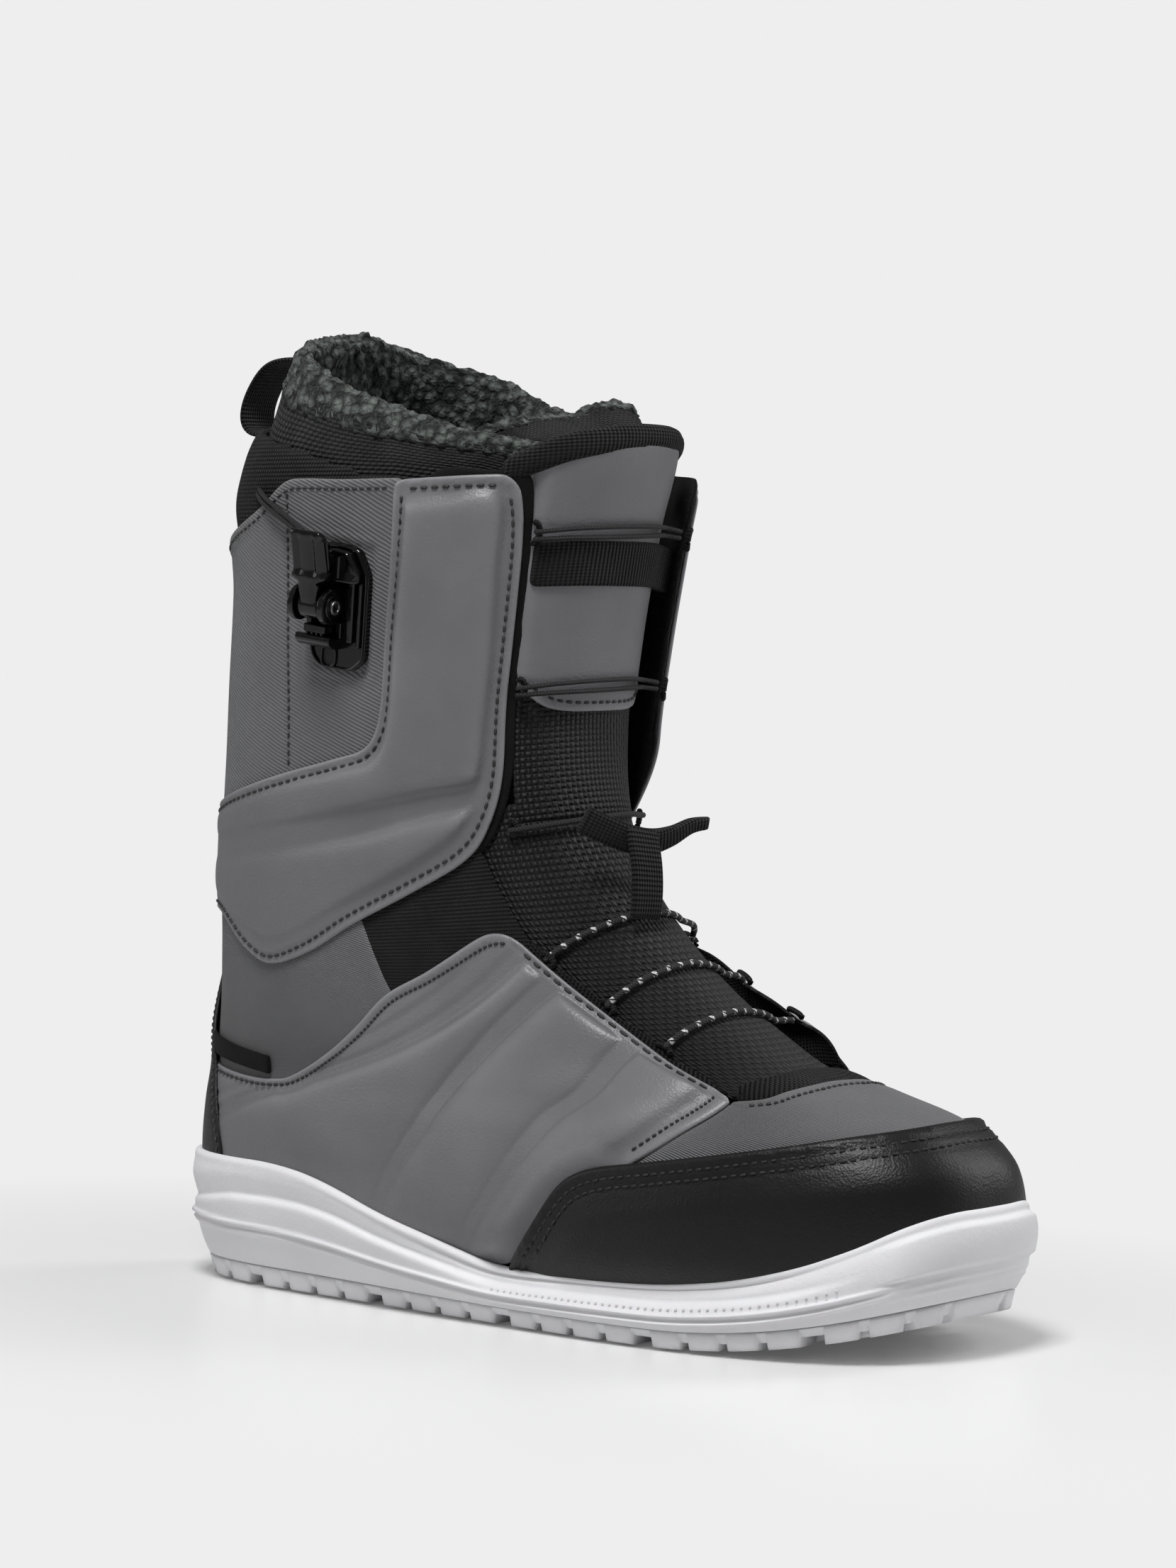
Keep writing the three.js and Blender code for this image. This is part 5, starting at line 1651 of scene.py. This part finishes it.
def linings():
    top = [(-0.93, 7.2), (-0.6, 6.95), (-0.32, 7.2), (-0.25, 6.6), (-0.19, 5.4), (-0.16, 4.4), (0, 4.2)]
    foot = [(-0.985, 0.3), (-0.5, 0.3), (0, 0.3), (0.5, 0.3), (0.985, 0.3)]
    whole = [(-0.985, 7.2)] + top + mirror(top)[1:] + [(0.985, 7.2)]
    ends = [[(0.985, 7.2), (0.985, 0.3)], [(-0.985, 0.3), (-0.985, 7.2)]]
    sheet = Sheet([whole, ends[0], foot[::-1], ends[1]], base=-4.6, thickness=1.2,
                  relief=soft(0.3, 24, 33), spacing=4)
    sew(sheet, "foot_lining_sleeve", "lining", "foot_lining")
    low = [(0.22, 7.5), (0.6, 7.3), (1, 7.3), (1.4, 7.3), (1.78, 7.5)]
    high = [(1.74, 11.5), (1.6, 11.68), (1.4, 11.6), (1.2, 11.45), (1, 11.42), (0.8, 11.45), (0.6, 11.6),
            (0.4, 11.68), (0.26, 11.5)]
    sheet = Sheet(strip_between(low, high), base=-2.6, thickness=1.6, relief=soft(0.3, 24, 34), spacing=4)
    sew(sheet, "cuff_lining_sleeve", "lining", "cuff_lining")


def side_label():
    outline = strip_between([(-0.918, 4.40), (-0.775, 4.02)], [(-0.762, 4.52), (-0.914, 4.92)])

    def folded(sheet, points, u, v, edge):
        return puff(edge, 0.25, 0.5) + groove(edge - 1.6, 0.15, 0.4)

    sheet = Sheet(outline, base=1.5, thickness=0.9, relief=folded, corner=0.8, spacing=1.2)
    sew(sheet, "side_label_patch", "label", "side_label")


# ---- laces, puller and loop ----
LOWER_LACE_ENDS = ((-0.200, 0.180, 0.40), (-0.160, 0.146, 0.42), (-0.138, 0.132, 0.42))    # left, right, arch
DOUBLED = (-0.022, 0.030)       # how far the two cords of a double row lie from its level


def lace_line(v, left, right, arch, lift, crown, half=0.17):
    k = np.linspace(-1, 1, 25)
    u = np.where(k < 0, left * -k, right * k)
    level = v + arch * (1 - k ** 2)
    height = lift + crown * np.clip(1 - (u / half) ** 2, 0, 1)
    return u, level, height


def laces():
    """The lower lace lies on the foot. Each upper row is two halves, lateral and medial, that meet in the
    middle."""
    rows = []
    for v, ends in zip(LOWER_ROWS, LOWER_LACE_ENDS):
        u, level, height = lace_line(v, *ends, -0.7, 3.3, 0.20)
        height += throat_flare(u, level) * np.where(u > 0, 0.7 * smoothstep(u, 0.08, 0.15), 1)
        rows.append(cord_piece("row", form.at(u, level, height), 1.05, LOOKS["reflective_cord"]))
    piece = join("lower_lace_rows", rows)
    install(piece, "lower_lace")
    for index, v in enumerate(UPPER_ROWS):
        double = index < 2
        side = np.interp(v, [8.0, 9.0], [0.172, 0.158])
        halves = {"lateral": [], "medial": []}
        for shift in (DOUBLED if double else (0.0,)):
            u, level, height = lace_line(v + shift, -side, side - 0.032, 0.0, 2.2 if double else 0.2, 3.7)
            level = level + 0.03 * np.sin(u * 9 + shift * 40)
            height += flare(u, level) * smoothstep(np.abs(u), 0.10, 0.155)
            radius = 0.78 if double else 0.95
            line = form.at(u, level, height)
            middle = int(np.argmin(np.abs(line[:, 1])))
            halves["lateral"].append(cord_piece("row", line[:middle + 1], radius, LOOKS["cord"]))
            halves["medial"].append(cord_piece("row", line[middle:], radius, LOOKS["cord"]))
        for hand, strands in halves.items():
            piece = join("upper_lace_row_%d_%s" % (index + 1, hand), strands)
            if index == 0:
                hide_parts("upper_lace")
            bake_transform(piece)


def puller():
    """The folded webbing tab that pulls the lower lace: a strap with a bowed bar across its top."""
    base = np.array([103.0, -9.0, 126.4])
    strap = base + [(0, 0, 0), (0.5, 0.5, 8), (-0.5, 1.5, 16), (-3.0, 3.0, 24), (-4.6, 4.0, 28)]
    parts = [ribbon("strap", strap, 12.5, 2.2, (0.15, 1, 0.0), LOOKS["webbing"])]
    bar = [(91.0, -25.0, 158.0), (93.5, -17.0, 154.5), (96.5, -8.0, 151.2), (98.2, 0.0, 150.2),
           (99.2, 9.0, 151.6), (99.8, 18.0, 154.4), (100.2, 26.0, 155.0)]
    parts.append(ribbon("bar", bar, 9.0, 3.2, (0.25, 0, 1), LOOKS["webbing"], narrow=0.45))
    piece = join("lace_puller_tab", parts)
    install(piece, "lace_puller", "puller")


RIBBON_SIDES, RIBBON_SPACING = 20, 1.0


def ribbon(name, line, width, thick, across, look, narrow=1.0, closed=False):
    """Webbing along a line. Its width lies along the given direction; narrow shrinks it towards its end."""
    centre = evenly(spline(line, 12), RIBBON_SPACING)
    if closed:
        centre = centre[:-1]
        ahead = np.roll(centre, -1, axis=0) - np.roll(centre, 1, axis=0)
    else:
        ahead = np.gradient(centre, axis=0)
    ahead = unit(ahead)
    wide = unit(np.array(across) - ahead * (ahead @ np.array(across))[:, None])
    normal = np.cross(ahead, wide)
    points, uv = [], []
    along = np.arange(len(centre)) * RIBBON_SPACING
    for k, c in enumerate(centre):
        grow = 1 - (1 - narrow) * smoothstep(k / len(centre), 0.35, 1.0)
        end = 1.0 if closed else min(1.0, 0.55 + min(k, len(centre) - 1 - k) * 0.25)
        for m in range(RIBBON_SIDES):
            t = 2 * math.pi * m / RIBBON_SIDES
            x = np.sign(math.cos(t)) * abs(math.cos(t)) ** 0.35 * width / 2 * grow
            y = np.sign(math.sin(t)) * abs(math.sin(t)) ** 0.6 * thick / 2 * end
            points.append(c + wide[k] * x + normal[k] * y)
            uv.append((along[k], x))
    faces = grid_faces(len(centre), RIBBON_SIDES, True)
    if closed:
        last = (len(centre) - 1) * RIBBON_SIDES
        for m in range(RIBBON_SIDES):
            k = (m + 1) % RIBBON_SIDES
            faces.append((last + m, last + k, k, m))
    else:
        faces += end_faces(len(centre), RIBBON_SIDES)
    return mesh_object(name, points, faces, look, uv)


def pull_loop():
    corners = [(-58, 281), (-68, 281), (-72, 286), (-69, 295), (-60, 304), (-46, 305), (-42, 301),
               (-44, 292), (-50, 284)]
    loop = evenly(spline([(x, 0, z) for x, z in corners + corners[:2]]), 1.0)
    line = blurred(loop[:-10], 2.0)
    piece = ribbon("pull_loop_band", line, 16.0, 1.9, (0, 1, 0), LOOKS["webbing"], closed=True)
    install(piece, "pull_loop", "loop")


def pull_cord():
    places = [(-0.500, 11.18, 9.0), (-0.53, 11.36, 4.4), (-0.58, 11.60, 2.8), (-0.635, 11.82, 1.2),
              (-0.70, 12.0, -3.2)]
    strands = []
    for shift in (-0.75, 0.75):
        line = np.array([form.at(u + shift * 0.004, v + shift * 0.022, h) for u, v, h in places])
        strands.append(cord_piece("strand", line, 0.80, LOOKS["cord"]))
    piece = join("pull_cord_strands", strands)
    install(piece, "pull_cord", "cuff")


# ---- liner ----
LINER_START, LINER_STOP = 0.10, 2.36         # how far the wrap runs round, in u from the front centre
LINER_OVERLAP = 1.72                         # from here the medial end slides inside the lateral one
LINER_SKIN = -5.4
RIM_AT = [0.10, 0.15, 0.25, 0.4, 0.6, 0.8, 1.0, 1.4, 1.6, 1.75, 1.88, 2.0, 2.08, 2.16, 2.25, 2.36]
RIM_LEVEL = [11.65, 11.80, 12.08, 12.40, 12.70, 12.92, 13.0, 12.66, 12.34, 12.55, 13.08, 13.22, 13.10,
             12.84, 12.45, 11.9]
KNIT_FOOT = 7.3
FLEECE_REACH, FLEECE_ROLL = 3.3, 5.0         # levels that the fleece reaches down inside; radius of its rim
TUFT, TUFT_RISE = 3.4, 2.4
FLEECE_START = 0.30                          # how far below the rim the fleece begins outside, in levels


def liner_at(s, v, offset):
    """A point on the liner, s round the wrap. Above the form's top the wall goes on straight."""
    u = np.where(s > 1, 2 - s, -s)
    tuck = 13.0 * smoothstep(s, LINER_OVERLAP, 1.98)
    base = form.on(u, np.minimum(v, TOP_LEVEL))
    slope = form.on(u, TOP_LEVEL) - form.on(u, TOP_LEVEL - 0.25)
    base = base + slope * (np.clip(v - TOP_LEVEL, 0, None) * 4)[..., None]
    out = form.out(u, np.minimum(v, 12.6))
    return base + out * (np.asarray(offset) - tuck)[..., None]


def wrap_sheet(name, columns, profile, look, bump=None):
    """A closed skin swept round the wrap. The profile gives (level, offset) rings for the columns s."""
    s = np.linspace(LINER_START, LINER_STOP, columns)
    rings = [liner_at(s, *values) for values in profile(s)]
    grid = np.array(rings)
    if bump is not None:
        rows = np.roll(grid, -1, axis=0) - np.roll(grid, 1, axis=0)
        runs = np.gradient(grid, axis=1)
        normal = unit(np.cross(runs, rows))
        grid = grid + normal * bump(grid.reshape(-1, 3)).reshape(grid.shape[:2])[..., None]
    count, rows = columns, len(rings)
    faces = []
    for j in range(rows):
        k = (j + 1) % rows
        for i in range(count - 1):
            faces.append((j * count + i, j * count + i + 1, k * count + i + 1, k * count + i))
    faces.append(tuple(j * count for j in range(rows)))
    faces.append(tuple(j * count + count - 1 for j in reversed(range(rows))))
    round_the_wrap = np.repeat((s * 160)[None], rows, 0).ravel()
    middle = grid[:, count // 2]
    lengths = np.cumsum(np.linalg.norm(np.diff(middle, axis=0, prepend=middle[:1]), axis=1))
    uv = np.stack([round_the_wrap, np.repeat(lengths, count)], -1)
    return mesh_object(name, grid.reshape(-1, 3), faces, look, uv)


def liner():
    rim = (lambda s: np.interp(s, RIM_AT, RIM_LEVEL))

    def knit_profile(s):
        rise = rim(s) - FLEECE_START + 0.12 - KNIT_FOOT
        for part in np.linspace(0, 1, 16):
            yield KNIT_FOOT + rise * part, np.full(len(s), LINER_SKIN)
        for part in np.linspace(1, 0, 6):
            yield KNIT_FOOT + rise * part, np.full(len(s), LINER_SKIN - 3.0)

    outer = wrap_sheet("liner_sleeve", 150, knit_profile, LOOKS["knit"])
    install(outer, "liner_upper")

    def fleece_profile(s):
        low = rim(s) - FLEECE_START
        flat = np.ones(len(s))
        yield low + 0.02, flat * (LINER_SKIN - 1.0)
        yield low, flat * (LINER_SKIN + 0.7)
        for t in np.linspace(0, math.pi, 26):
            inward = FLEECE_ROLL * (1 - math.cos(t)) * 0.98
            yield low + 0.06 + 0.29 * math.sin(t) ** 0.8, flat * (LINER_SKIN + 1.3 - inward)
        for part in np.linspace(0, 1, 64)[1:]:
            yield low - part * FLEECE_REACH, flat * (LINER_SKIN - 8.2)
        yield low - FLEECE_REACH, flat * (LINER_SKIN - 3.4)
        for part in np.linspace(1, 0, 8)[1:-1]:
            yield low - part * FLEECE_REACH, flat * (LINER_SKIN - 3.4)

    def pile(points):
        return TUFT_RISE * tufts(points, TUFT, 41) + 0.5 * value_noise(points, 1.6, 42)

    inner = wrap_sheet("liner_fleece_roll", 400, fleece_profile, LOOKS["fleece"], pile)
    install(inner, "liner_fleece")


def liner_foot():
    """The lower part of the inner boot, open where the leg goes in, and the footbed inside it."""
    count = 96
    u = np.linspace(-1, 1, count, endpoint=False)
    levels = np.linspace(0.9, 7.4, 20)
    rings = [sheet_ring(0.35, -11.0, 0.0, u)] + [form.at(u, np.full(count, v), -7.6) for v in levels]
    rings += [form.at(u, np.full(count, v), -11.6) for v in levels[:0:-1]]
    rings.append(sheet_ring(0.75, -12.6, 0.0, u))
    piece = ring_solid("liner_boot", rings, LOOKS["lining"])
    install(piece, "liner_lower")
    rings = []
    for inset, lift in ((1.6, 0.0), (0.5, 0.5), (0, 1.4), (0, 3.0), (0.6, 4.0), (2.0, 4.4)):
        rings.append(sheet_ring(0.9, -13.6 - inset, 0.6 + lift, u))
    piece = ring_solid("footbed_pad", rings, LOOKS["lining"])
    install(piece, "footbed", "foot")


def sheet_ring(v, offset, lift, u):
    """A ring inside the form whose height follows the sole line."""
    ring = form.at(u, np.full(len(u), v), offset)
    ring[:, 2] = form.on(u, np.full(len(u), v))[:, 2] + lift
    return ring


# ---- lace lock ----
CORNER_STEPS, DISC_STEPS = 5, 40


def eased(corners, spacing, sigma):
    """A closed outline with rounded corners."""
    return blurred(evenly(np.array(corners + corners[:1], float), spacing)[:-1], sigma)


def rounded(width, height, corner, centre):
    """A rectangle with round corners."""
    w, h = width / 2 - corner, height / 2 - corner
    points = []
    for quarter, (cx, cy) in enumerate(((w, h), (-w, h), (-w, -h), (w, -h))):
        for t in np.linspace(quarter, quarter + 1, CORNER_STEPS) * math.pi / 2:
            points.append((centre[0] + cx + corner * math.cos(t), centre[1] + cy + corner * math.sin(t)))
    return points


def swapped(piece, order):
    """Turns a piece so that its own x, y and z axes become the lock axes in the given order."""
    for vertex in piece.data.vertices:
        vertex.co = Vector([vertex.co[k] for k in order])
    return piece


def in_lock(piece):
    """Moves a piece drawn in the lock's own frame to its place on the cuff."""
    piece.data.transform(Matrix.Scale(1 / MM, 4))
    piece.data.transform(lock_matrix())
    piece.data.transform(Matrix.Scale(MM, 4))
    return piece


def box_outline(low_x, high_x, low_y, high_y):
    return [(low_x, low_y), (high_x, low_y), (high_x, high_y), (low_x, high_y)]


def disc(radius, centre):
    t = np.arange(DISC_STEPS) * 2 * math.pi / DISC_STEPS
    return np.stack([centre[0] + radius * np.cos(t), centre[1] + radius * np.sin(t)], -1)


def ring_of(name, outer, inner, low, high, look):
    """A round collar: the space between two matching outlines."""
    outer, inner = np.asarray(outer), np.asarray(inner)
    count = len(outer)
    loops = [np.c_[outer, np.full(count, low)], np.c_[outer, np.full(count, high)],
             np.c_[inner, np.full(count, high)], np.c_[inner, np.full(count, low)]]
    faces = grid_faces(4, count, True)
    faces += [(3 * count + m, 3 * count + (m + 1) % count, (m + 1) % count, m) for m in range(count)]
    points = np.concatenate(loops)
    piece = mesh_object(name, points, faces, look, points[:, :2])
    piece.data.shade_flat()
    return piece


ALONG_X = (2, 0, 1)             # for a piece drawn in y and z, and stood along x
PLATE = [(-11.5, 12), (-11.5, -8), (-8.6, -17.5), (-5.5, -20), (7, -20), (11.5, -16), (11.5, 11.5),
         (7.2, 19.2), (2, 20), (-6, 20), (-9.5, 17)]
HOOD = [(-2.8, 8.6), (9.8, 8.6), (9.8, 12.2), (5.6, 18.6), (-1.2, 19.2), (-3.2, 15)]
LIP = [(-13.2, 0.4), (-9.6, 0.4), (-9.4, 5.0), (-8.6, 8.6), (-10.6, 9.2), (-12.6, 7.0), (-13.4, 3.6)]
SLOT_CENTRE = (PIN.x + 1.2, -16.1)
RAILS = ((5.6, 8.0, -10.5, 9.5, 3.9), (9.0, 10.4, -12, 9.0, 3.2))       # sides, ends and top of each rail
CHEEK_RADIUS, CHEEK_INNER, CHEEK_OUTER = 5.7, 4.8, 7.0                  # the last two from the lock's middle


def block(name, outline, low, high, bevel, segments=3):
    """A bevelled block of black plastic."""
    return bevelled(prism(name, outline, low, high, LOOKS["plastic"]), bevel, segments)


def cross_block(name, outline, low_x, high_x, bevel, segments=3):
    """One that is drawn in y and z and stands across the lock, between two places from its middle."""
    piece = prism(name, outline, PIN.x + low_x, PIN.x + high_x, LOOKS["plastic"])
    return bevelled(swapped(piece, ALONG_X), bevel, segments)


def cheek(low_x, high_x):
    """A side plate of the clamp: round over the pin, square below."""
    t = np.linspace(-0.15 * math.pi, 1.12 * math.pi, 26)
    outline = [(PIN.y + CHEEK_RADIUS * math.cos(a), PIN.z + CHEEK_RADIUS * math.sin(a)) for a in t]
    return cross_block("cheek", outline + [(-5.4, 0.4), (6.6, 0.4)], low_x, high_x, 0.45)


def lock_housing():
    """The base plate with its rim, slot, rails, hood, cheeks, rivet head and lip."""
    look = LOOKS["plastic"]
    base = eased(PLATE, 0.5, 2.4)
    slot = rounded(4.4, 6.4, 2.0, SLOT_CENTRE)
    slot_rim = rounded(6.4, 8.4, 3.0, SLOT_CENTRE)
    axis = (PIN.y, PIN.z)
    crown = (lambda p: 6.8 - 0.018 * (p[:, 1] - 10) ** 2 - 0.03 * (p[:, 0] - 1) ** 2)
    parts = [block("plate", base, -1.4, 1.2, 0.5)]
    rim = base * np.array([0.93, 0.955])
    parts.append(bevelled(ring_of("rim", base * 0.995, rim, 1.0, 2.1, look), 0.35, 2))
    parts.append(bevelled(ring_of("slot", slot_rim, slot, 0.9, 2.0, look), 0.3, 2))
    parts.append(prism("slot_floor", slot, 0.9, 1.3, LOOKS["shadow"]))
    parts += [block("rail", box_outline(*sides), 0.5, top, 0.6) for *sides, top in RAILS]
    parts.append(block("hood", eased(HOOD, 0.5, 2.0), 0.8, crown, 0.9, 4))
    for middle in (0.4, 3.6):
        parts.append(block("fin", box_outline(middle - 0.45, middle + 0.45, 10, 17.2), 5.0, 7.2, 0.35, 2))
    parts += [cheek(-CHEEK_OUTER, -CHEEK_INNER), cheek(CHEEK_INNER, CHEEK_OUTER)]
    parts.append(cross_block("boss", disc(4.0, axis), 6.6, 7.7, 0.35))
    rivet = ring_of("rivet", disc(2.3, axis), disc(1.35, axis), PIN.x + 7.5, PIN.x + 8.5, LOOKS["steel"])
    parts.append(bevelled(swapped(rivet, ALONG_X), 0.25, 2))
    parts.append(cross_block("lip", eased(LIP, 0.4, 1.6), -7.2, 6.4, 0.5))
    for edge in (-6.9, 5.0):
        parts.append(cross_block("rib", box_outline(-9.8, -4.0, 0.4, 3.4), edge, edge + 1.9, 0.4, 2))
    return parts


def jaw_parts():
    """The jaw, with four teeth that bite the lace."""
    parts = [block("jaw", box_outline(PIN.x - 4.2, PIN.x + 4.2, -8.1, -5.6), 1.8, 8.4, 0.4)]
    for middle in (-2.9, -1.0, 0.9, 2.8):
        x = PIN.x + middle
        parts.append(block("tooth", [(x, -9.2), (x + 0.7, -7.9), (x - 0.7, -7.9)], 2.0, 8.2, 0.12, 2))
    return parts


def lock():
    for name, parts, node, body in (("lock_base_housing", lock_housing(), "lock_base", "cuff"),
                                    ("lock_lever_handle", lever_parts(), "lock_lever", "lever"),
                                    ("lock_jaw_teeth", jaw_parts(), "lock_jaw", "jaw")):
        install(in_lock(join(name, parts)), node, body)


LEVER_SIDES, LEVER_SQUARE = 64, 0.45          # points round the handle, and how square it is
LEVER_FLUTE, LEVER_CROWN = 1.5, 0.028
LEVER_STATIONS = np.r_[np.linspace(-2.2, 8.6, 10), 9.2, np.linspace(9.8, 24.0, 26), 24.8, 25.3]


def lever_parts():
    """The lever: a hub on the pin, a neck, and a fluted handle that flares at its shoulders."""
    points = []
    for y in LEVER_STATIONS:
        low = np.interp(y, [-2.5, 4, 23, 25.3], [6.2, 5.4, 12.3, 14.2])
        high = np.interp(y, [-2.5, 2, 8, 14, 23, 25.3], [10.8, 13.0, 13.8, 15.2, 17.0, 16.4])
        half = np.interp(y, [-2.5, 8.6, 9.6, 14, 22, 24.6, 25.3], [3.6, 4.0, 6.6, 7.0, 7.3, 6.6, 5.4])
        thick, middle = (high - low) / 2, (high + low) / 2
        flute = smoothstep(y, 10, 13) * smoothstep(-y, -24.5, -22)
        for m in range(LEVER_SIDES):
            t = 2 * math.pi * m / LEVER_SIDES
            c, s = math.cos(t), math.sin(t)
            px = np.sign(c) * abs(c) ** LEVER_SQUARE * half
            pz = np.sign(s) * abs(s) ** LEVER_SQUARE * thick
            if s > 0:
                wave = np.cos(px / 7.2 * 3 * math.pi)
                pz -= flute * (LEVER_FLUTE * (0.5 - 0.5 * wave) + LEVER_CROWN * px ** 2)
            points.append((PIN.x + px, y, middle + pz))
    count = len(LEVER_STATIONS)
    faces = [f[::-1] for f in grid_faces(count, LEVER_SIDES, True) + end_faces(count, LEVER_SIDES)]
    arm = mesh_object("arm", points, faces, LOOKS["plastic"], np.array(points)[:, :2])
    return [arm, cross_block("hub", disc(4.4, (PIN.y, PIN.z)), -3.8, 3.8, 0.5)]


def inside_parts():
    """The CAD nodes that stay as they are: hidden boards and the lock's pin."""
    for node, look in (("insole_board", "board"), ("heel_counter", "board"), ("lock_pin", "steel")):
        piece = bpy.data.objects[node]
        for place in piece.material_slots:
            place.material = LOOKS[look]


build_uppers()
sole()
lower_tongue()
upper_tongue()
shield()
bound_edge()
strap()
tongue_gussets()
throat_binding()
linings()
for side in (LATERAL, MEDIAL):
    facing(side)
    lower_guide(side)
side_label()
laces()
puller()
pull_loop()
pull_cord()
liner()
liner_foot()
lock()
inside_parts()


# ---- camera, light and floor ----
CAMERA_AZIMUTH, CAMERA_ELEVATION = 40.0, 3.3
CAMERA_DISTANCE = 1.5
CAMERA_SHIFT, CAMERA_AIM = Vector((-0.0154, 0.0084, -0.0067)), Vector((-0.0054, 0.0174, 0.0103))
LENS, SENSOR = 107.4, 36.0
PALE = grey(238)
FLOOR_HALF = 6.0
FLOOR_SINK = 0.0008          # how far below the tread the floor lies, so that they don't flicker
CORNERS = ((-1, -1), (1, -1), (1, 1), (-1, 1))
FLOOR_BOUNCE = 216           # how pale the floor is to light that bounces off it
FLOOR_CENTRE, FLOOR_SHAPE, FLOOR_FADE = (0.07, 0, 0), (0.62, 1, 1), (0.09, 0.26)


SKY = 0.20                   # strength of the even light from all round
LAMPS = (                    # name, place in metres, size in metres, power in watts; all aim at the boot
    ("key", (0.45, -0.80, 1.65), (0.5, 0.5), 26),
    ("rim", (0.9, 1.2, 0.9), (0.5, 1.2), 10),
    ("fill", (-1.3, -1.1, 0.7), (0.9, 0.9), 4),
)


def point_at(thing, aim):
    thing.rotation_mode = "QUATERNION"
    thing.rotation_quaternion = (Vector(aim) - thing.location).to_track_quat("-Z", "Y")


def build_camera():
    low, high = cad_box
    centre = (low + high) / 2
    a, e = math.radians(CAMERA_AZIMUTH), math.radians(CAMERA_ELEVATION)
    back = Vector((math.sin(a) * math.cos(e), -math.cos(a) * math.cos(e), math.sin(e)))
    data = bpy.data.cameras.new("camera")
    data.lens, data.sensor_width = LENS, SENSOR
    data.clip_start, data.clip_end = 0.05, 50
    camera = placed("camera", data)
    camera.location = centre + CAMERA_SHIFT + back * CAMERA_DISTANCE
    aim = centre + CAMERA_AIM
    point_at(camera, aim)
    bpy.context.scene.camera = camera


def area_light(name, place, aim, size, power):
    data = bpy.data.lights.new(name, "AREA")
    data.shape, data.size, data.size_y = "RECTANGLE", size[0], size[1]
    data.energy = power
    lamp = placed(name, data)
    lamp.location = place
    point_at(lamp, aim)


def build_floor():
    mesh = bpy.data.meshes.new("floor")
    mesh.from_pydata([(x * FLOOR_HALF, y * FLOOR_HALF, 0) for x, y in CORNERS], [], [(0, 1, 2, 3)])
    look = Look("floor", 0.28)
    path = look.tree.nodes.new("ShaderNodeLightPath")
    seen = path.outputs["Is Camera Ray"]
    look.set("Base Color", look.mix(seen, grey(FLOOR_BOUNCE), grey(240)))
    look.set("Specular IOR Level", 0.35)
    look.set("Emission Color", (1, 1, 1, 1))
    look.set("Emission Strength", look.math("MULTIPLY", seen, 0.08))
    tree = look.tree
    glow = tree.nodes.new("ShaderNodeEmission")
    glow.inputs[0].default_value = (*PALE, 1)
    both = tree.nodes.new("ShaderNodeMixShader")
    away = look.body
    for operation, value in (("SUBTRACT", FLOOR_CENTRE), ("MULTIPLY", FLOOR_SHAPE), ("LENGTH", None)):
        node = tree.nodes.new("ShaderNodeVectorMath")
        node.operation = operation
        look.put(away, node.inputs[0])
        if value:
            node.inputs[1].default_value = value
        away = node.outputs["Value" if operation == "LENGTH" else "Vector"]
    fade = look.spread(away, *FLOOR_FADE)
    tree.links.new(look.math("MULTIPLY", fade, seen), both.inputs[0])
    tree.links.new(look.surface.outputs[0], both.inputs[1])
    tree.links.new(glow.outputs[0], both.inputs[2])
    tree.links.new(both.outputs[0], tree.nodes["Material Output"].inputs[0])
    mesh.materials.append(look.material)
    floor = placed("floor", mesh)
    floor.location.z = -FLOOR_SINK


def build_light():
    world = bpy.data.worlds.new("studio")
    bpy.context.scene.world = world
    world.use_nodes = True
    tree = world.node_tree
    soft_light = tree.nodes["Background"]
    soft_light.inputs[0].default_value = (1, 1, 1, 1)
    soft_light.inputs[1].default_value = SKY
    seen = tree.nodes.new("ShaderNodeBackground")
    seen.inputs[0].default_value = (*PALE, 1)
    path = tree.nodes.new("ShaderNodeLightPath")
    both = tree.nodes.new("ShaderNodeMixShader")
    tree.links.new(path.outputs["Is Camera Ray"], both.inputs[0])
    tree.links.new(soft_light.outputs[0], both.inputs[1])
    tree.links.new(seen.outputs[0], both.inputs[2])
    tree.links.new(both.outputs[0], tree.nodes["World Output"].inputs[0])
    middle = (cad_box[0] + cad_box[1]) / 2
    for name, place, size, power in LAMPS:
        area_light(name, place, middle, size, power)
    bpy.context.scene.view_settings.view_transform = "Standard"


build_camera()
build_light()
build_floor()
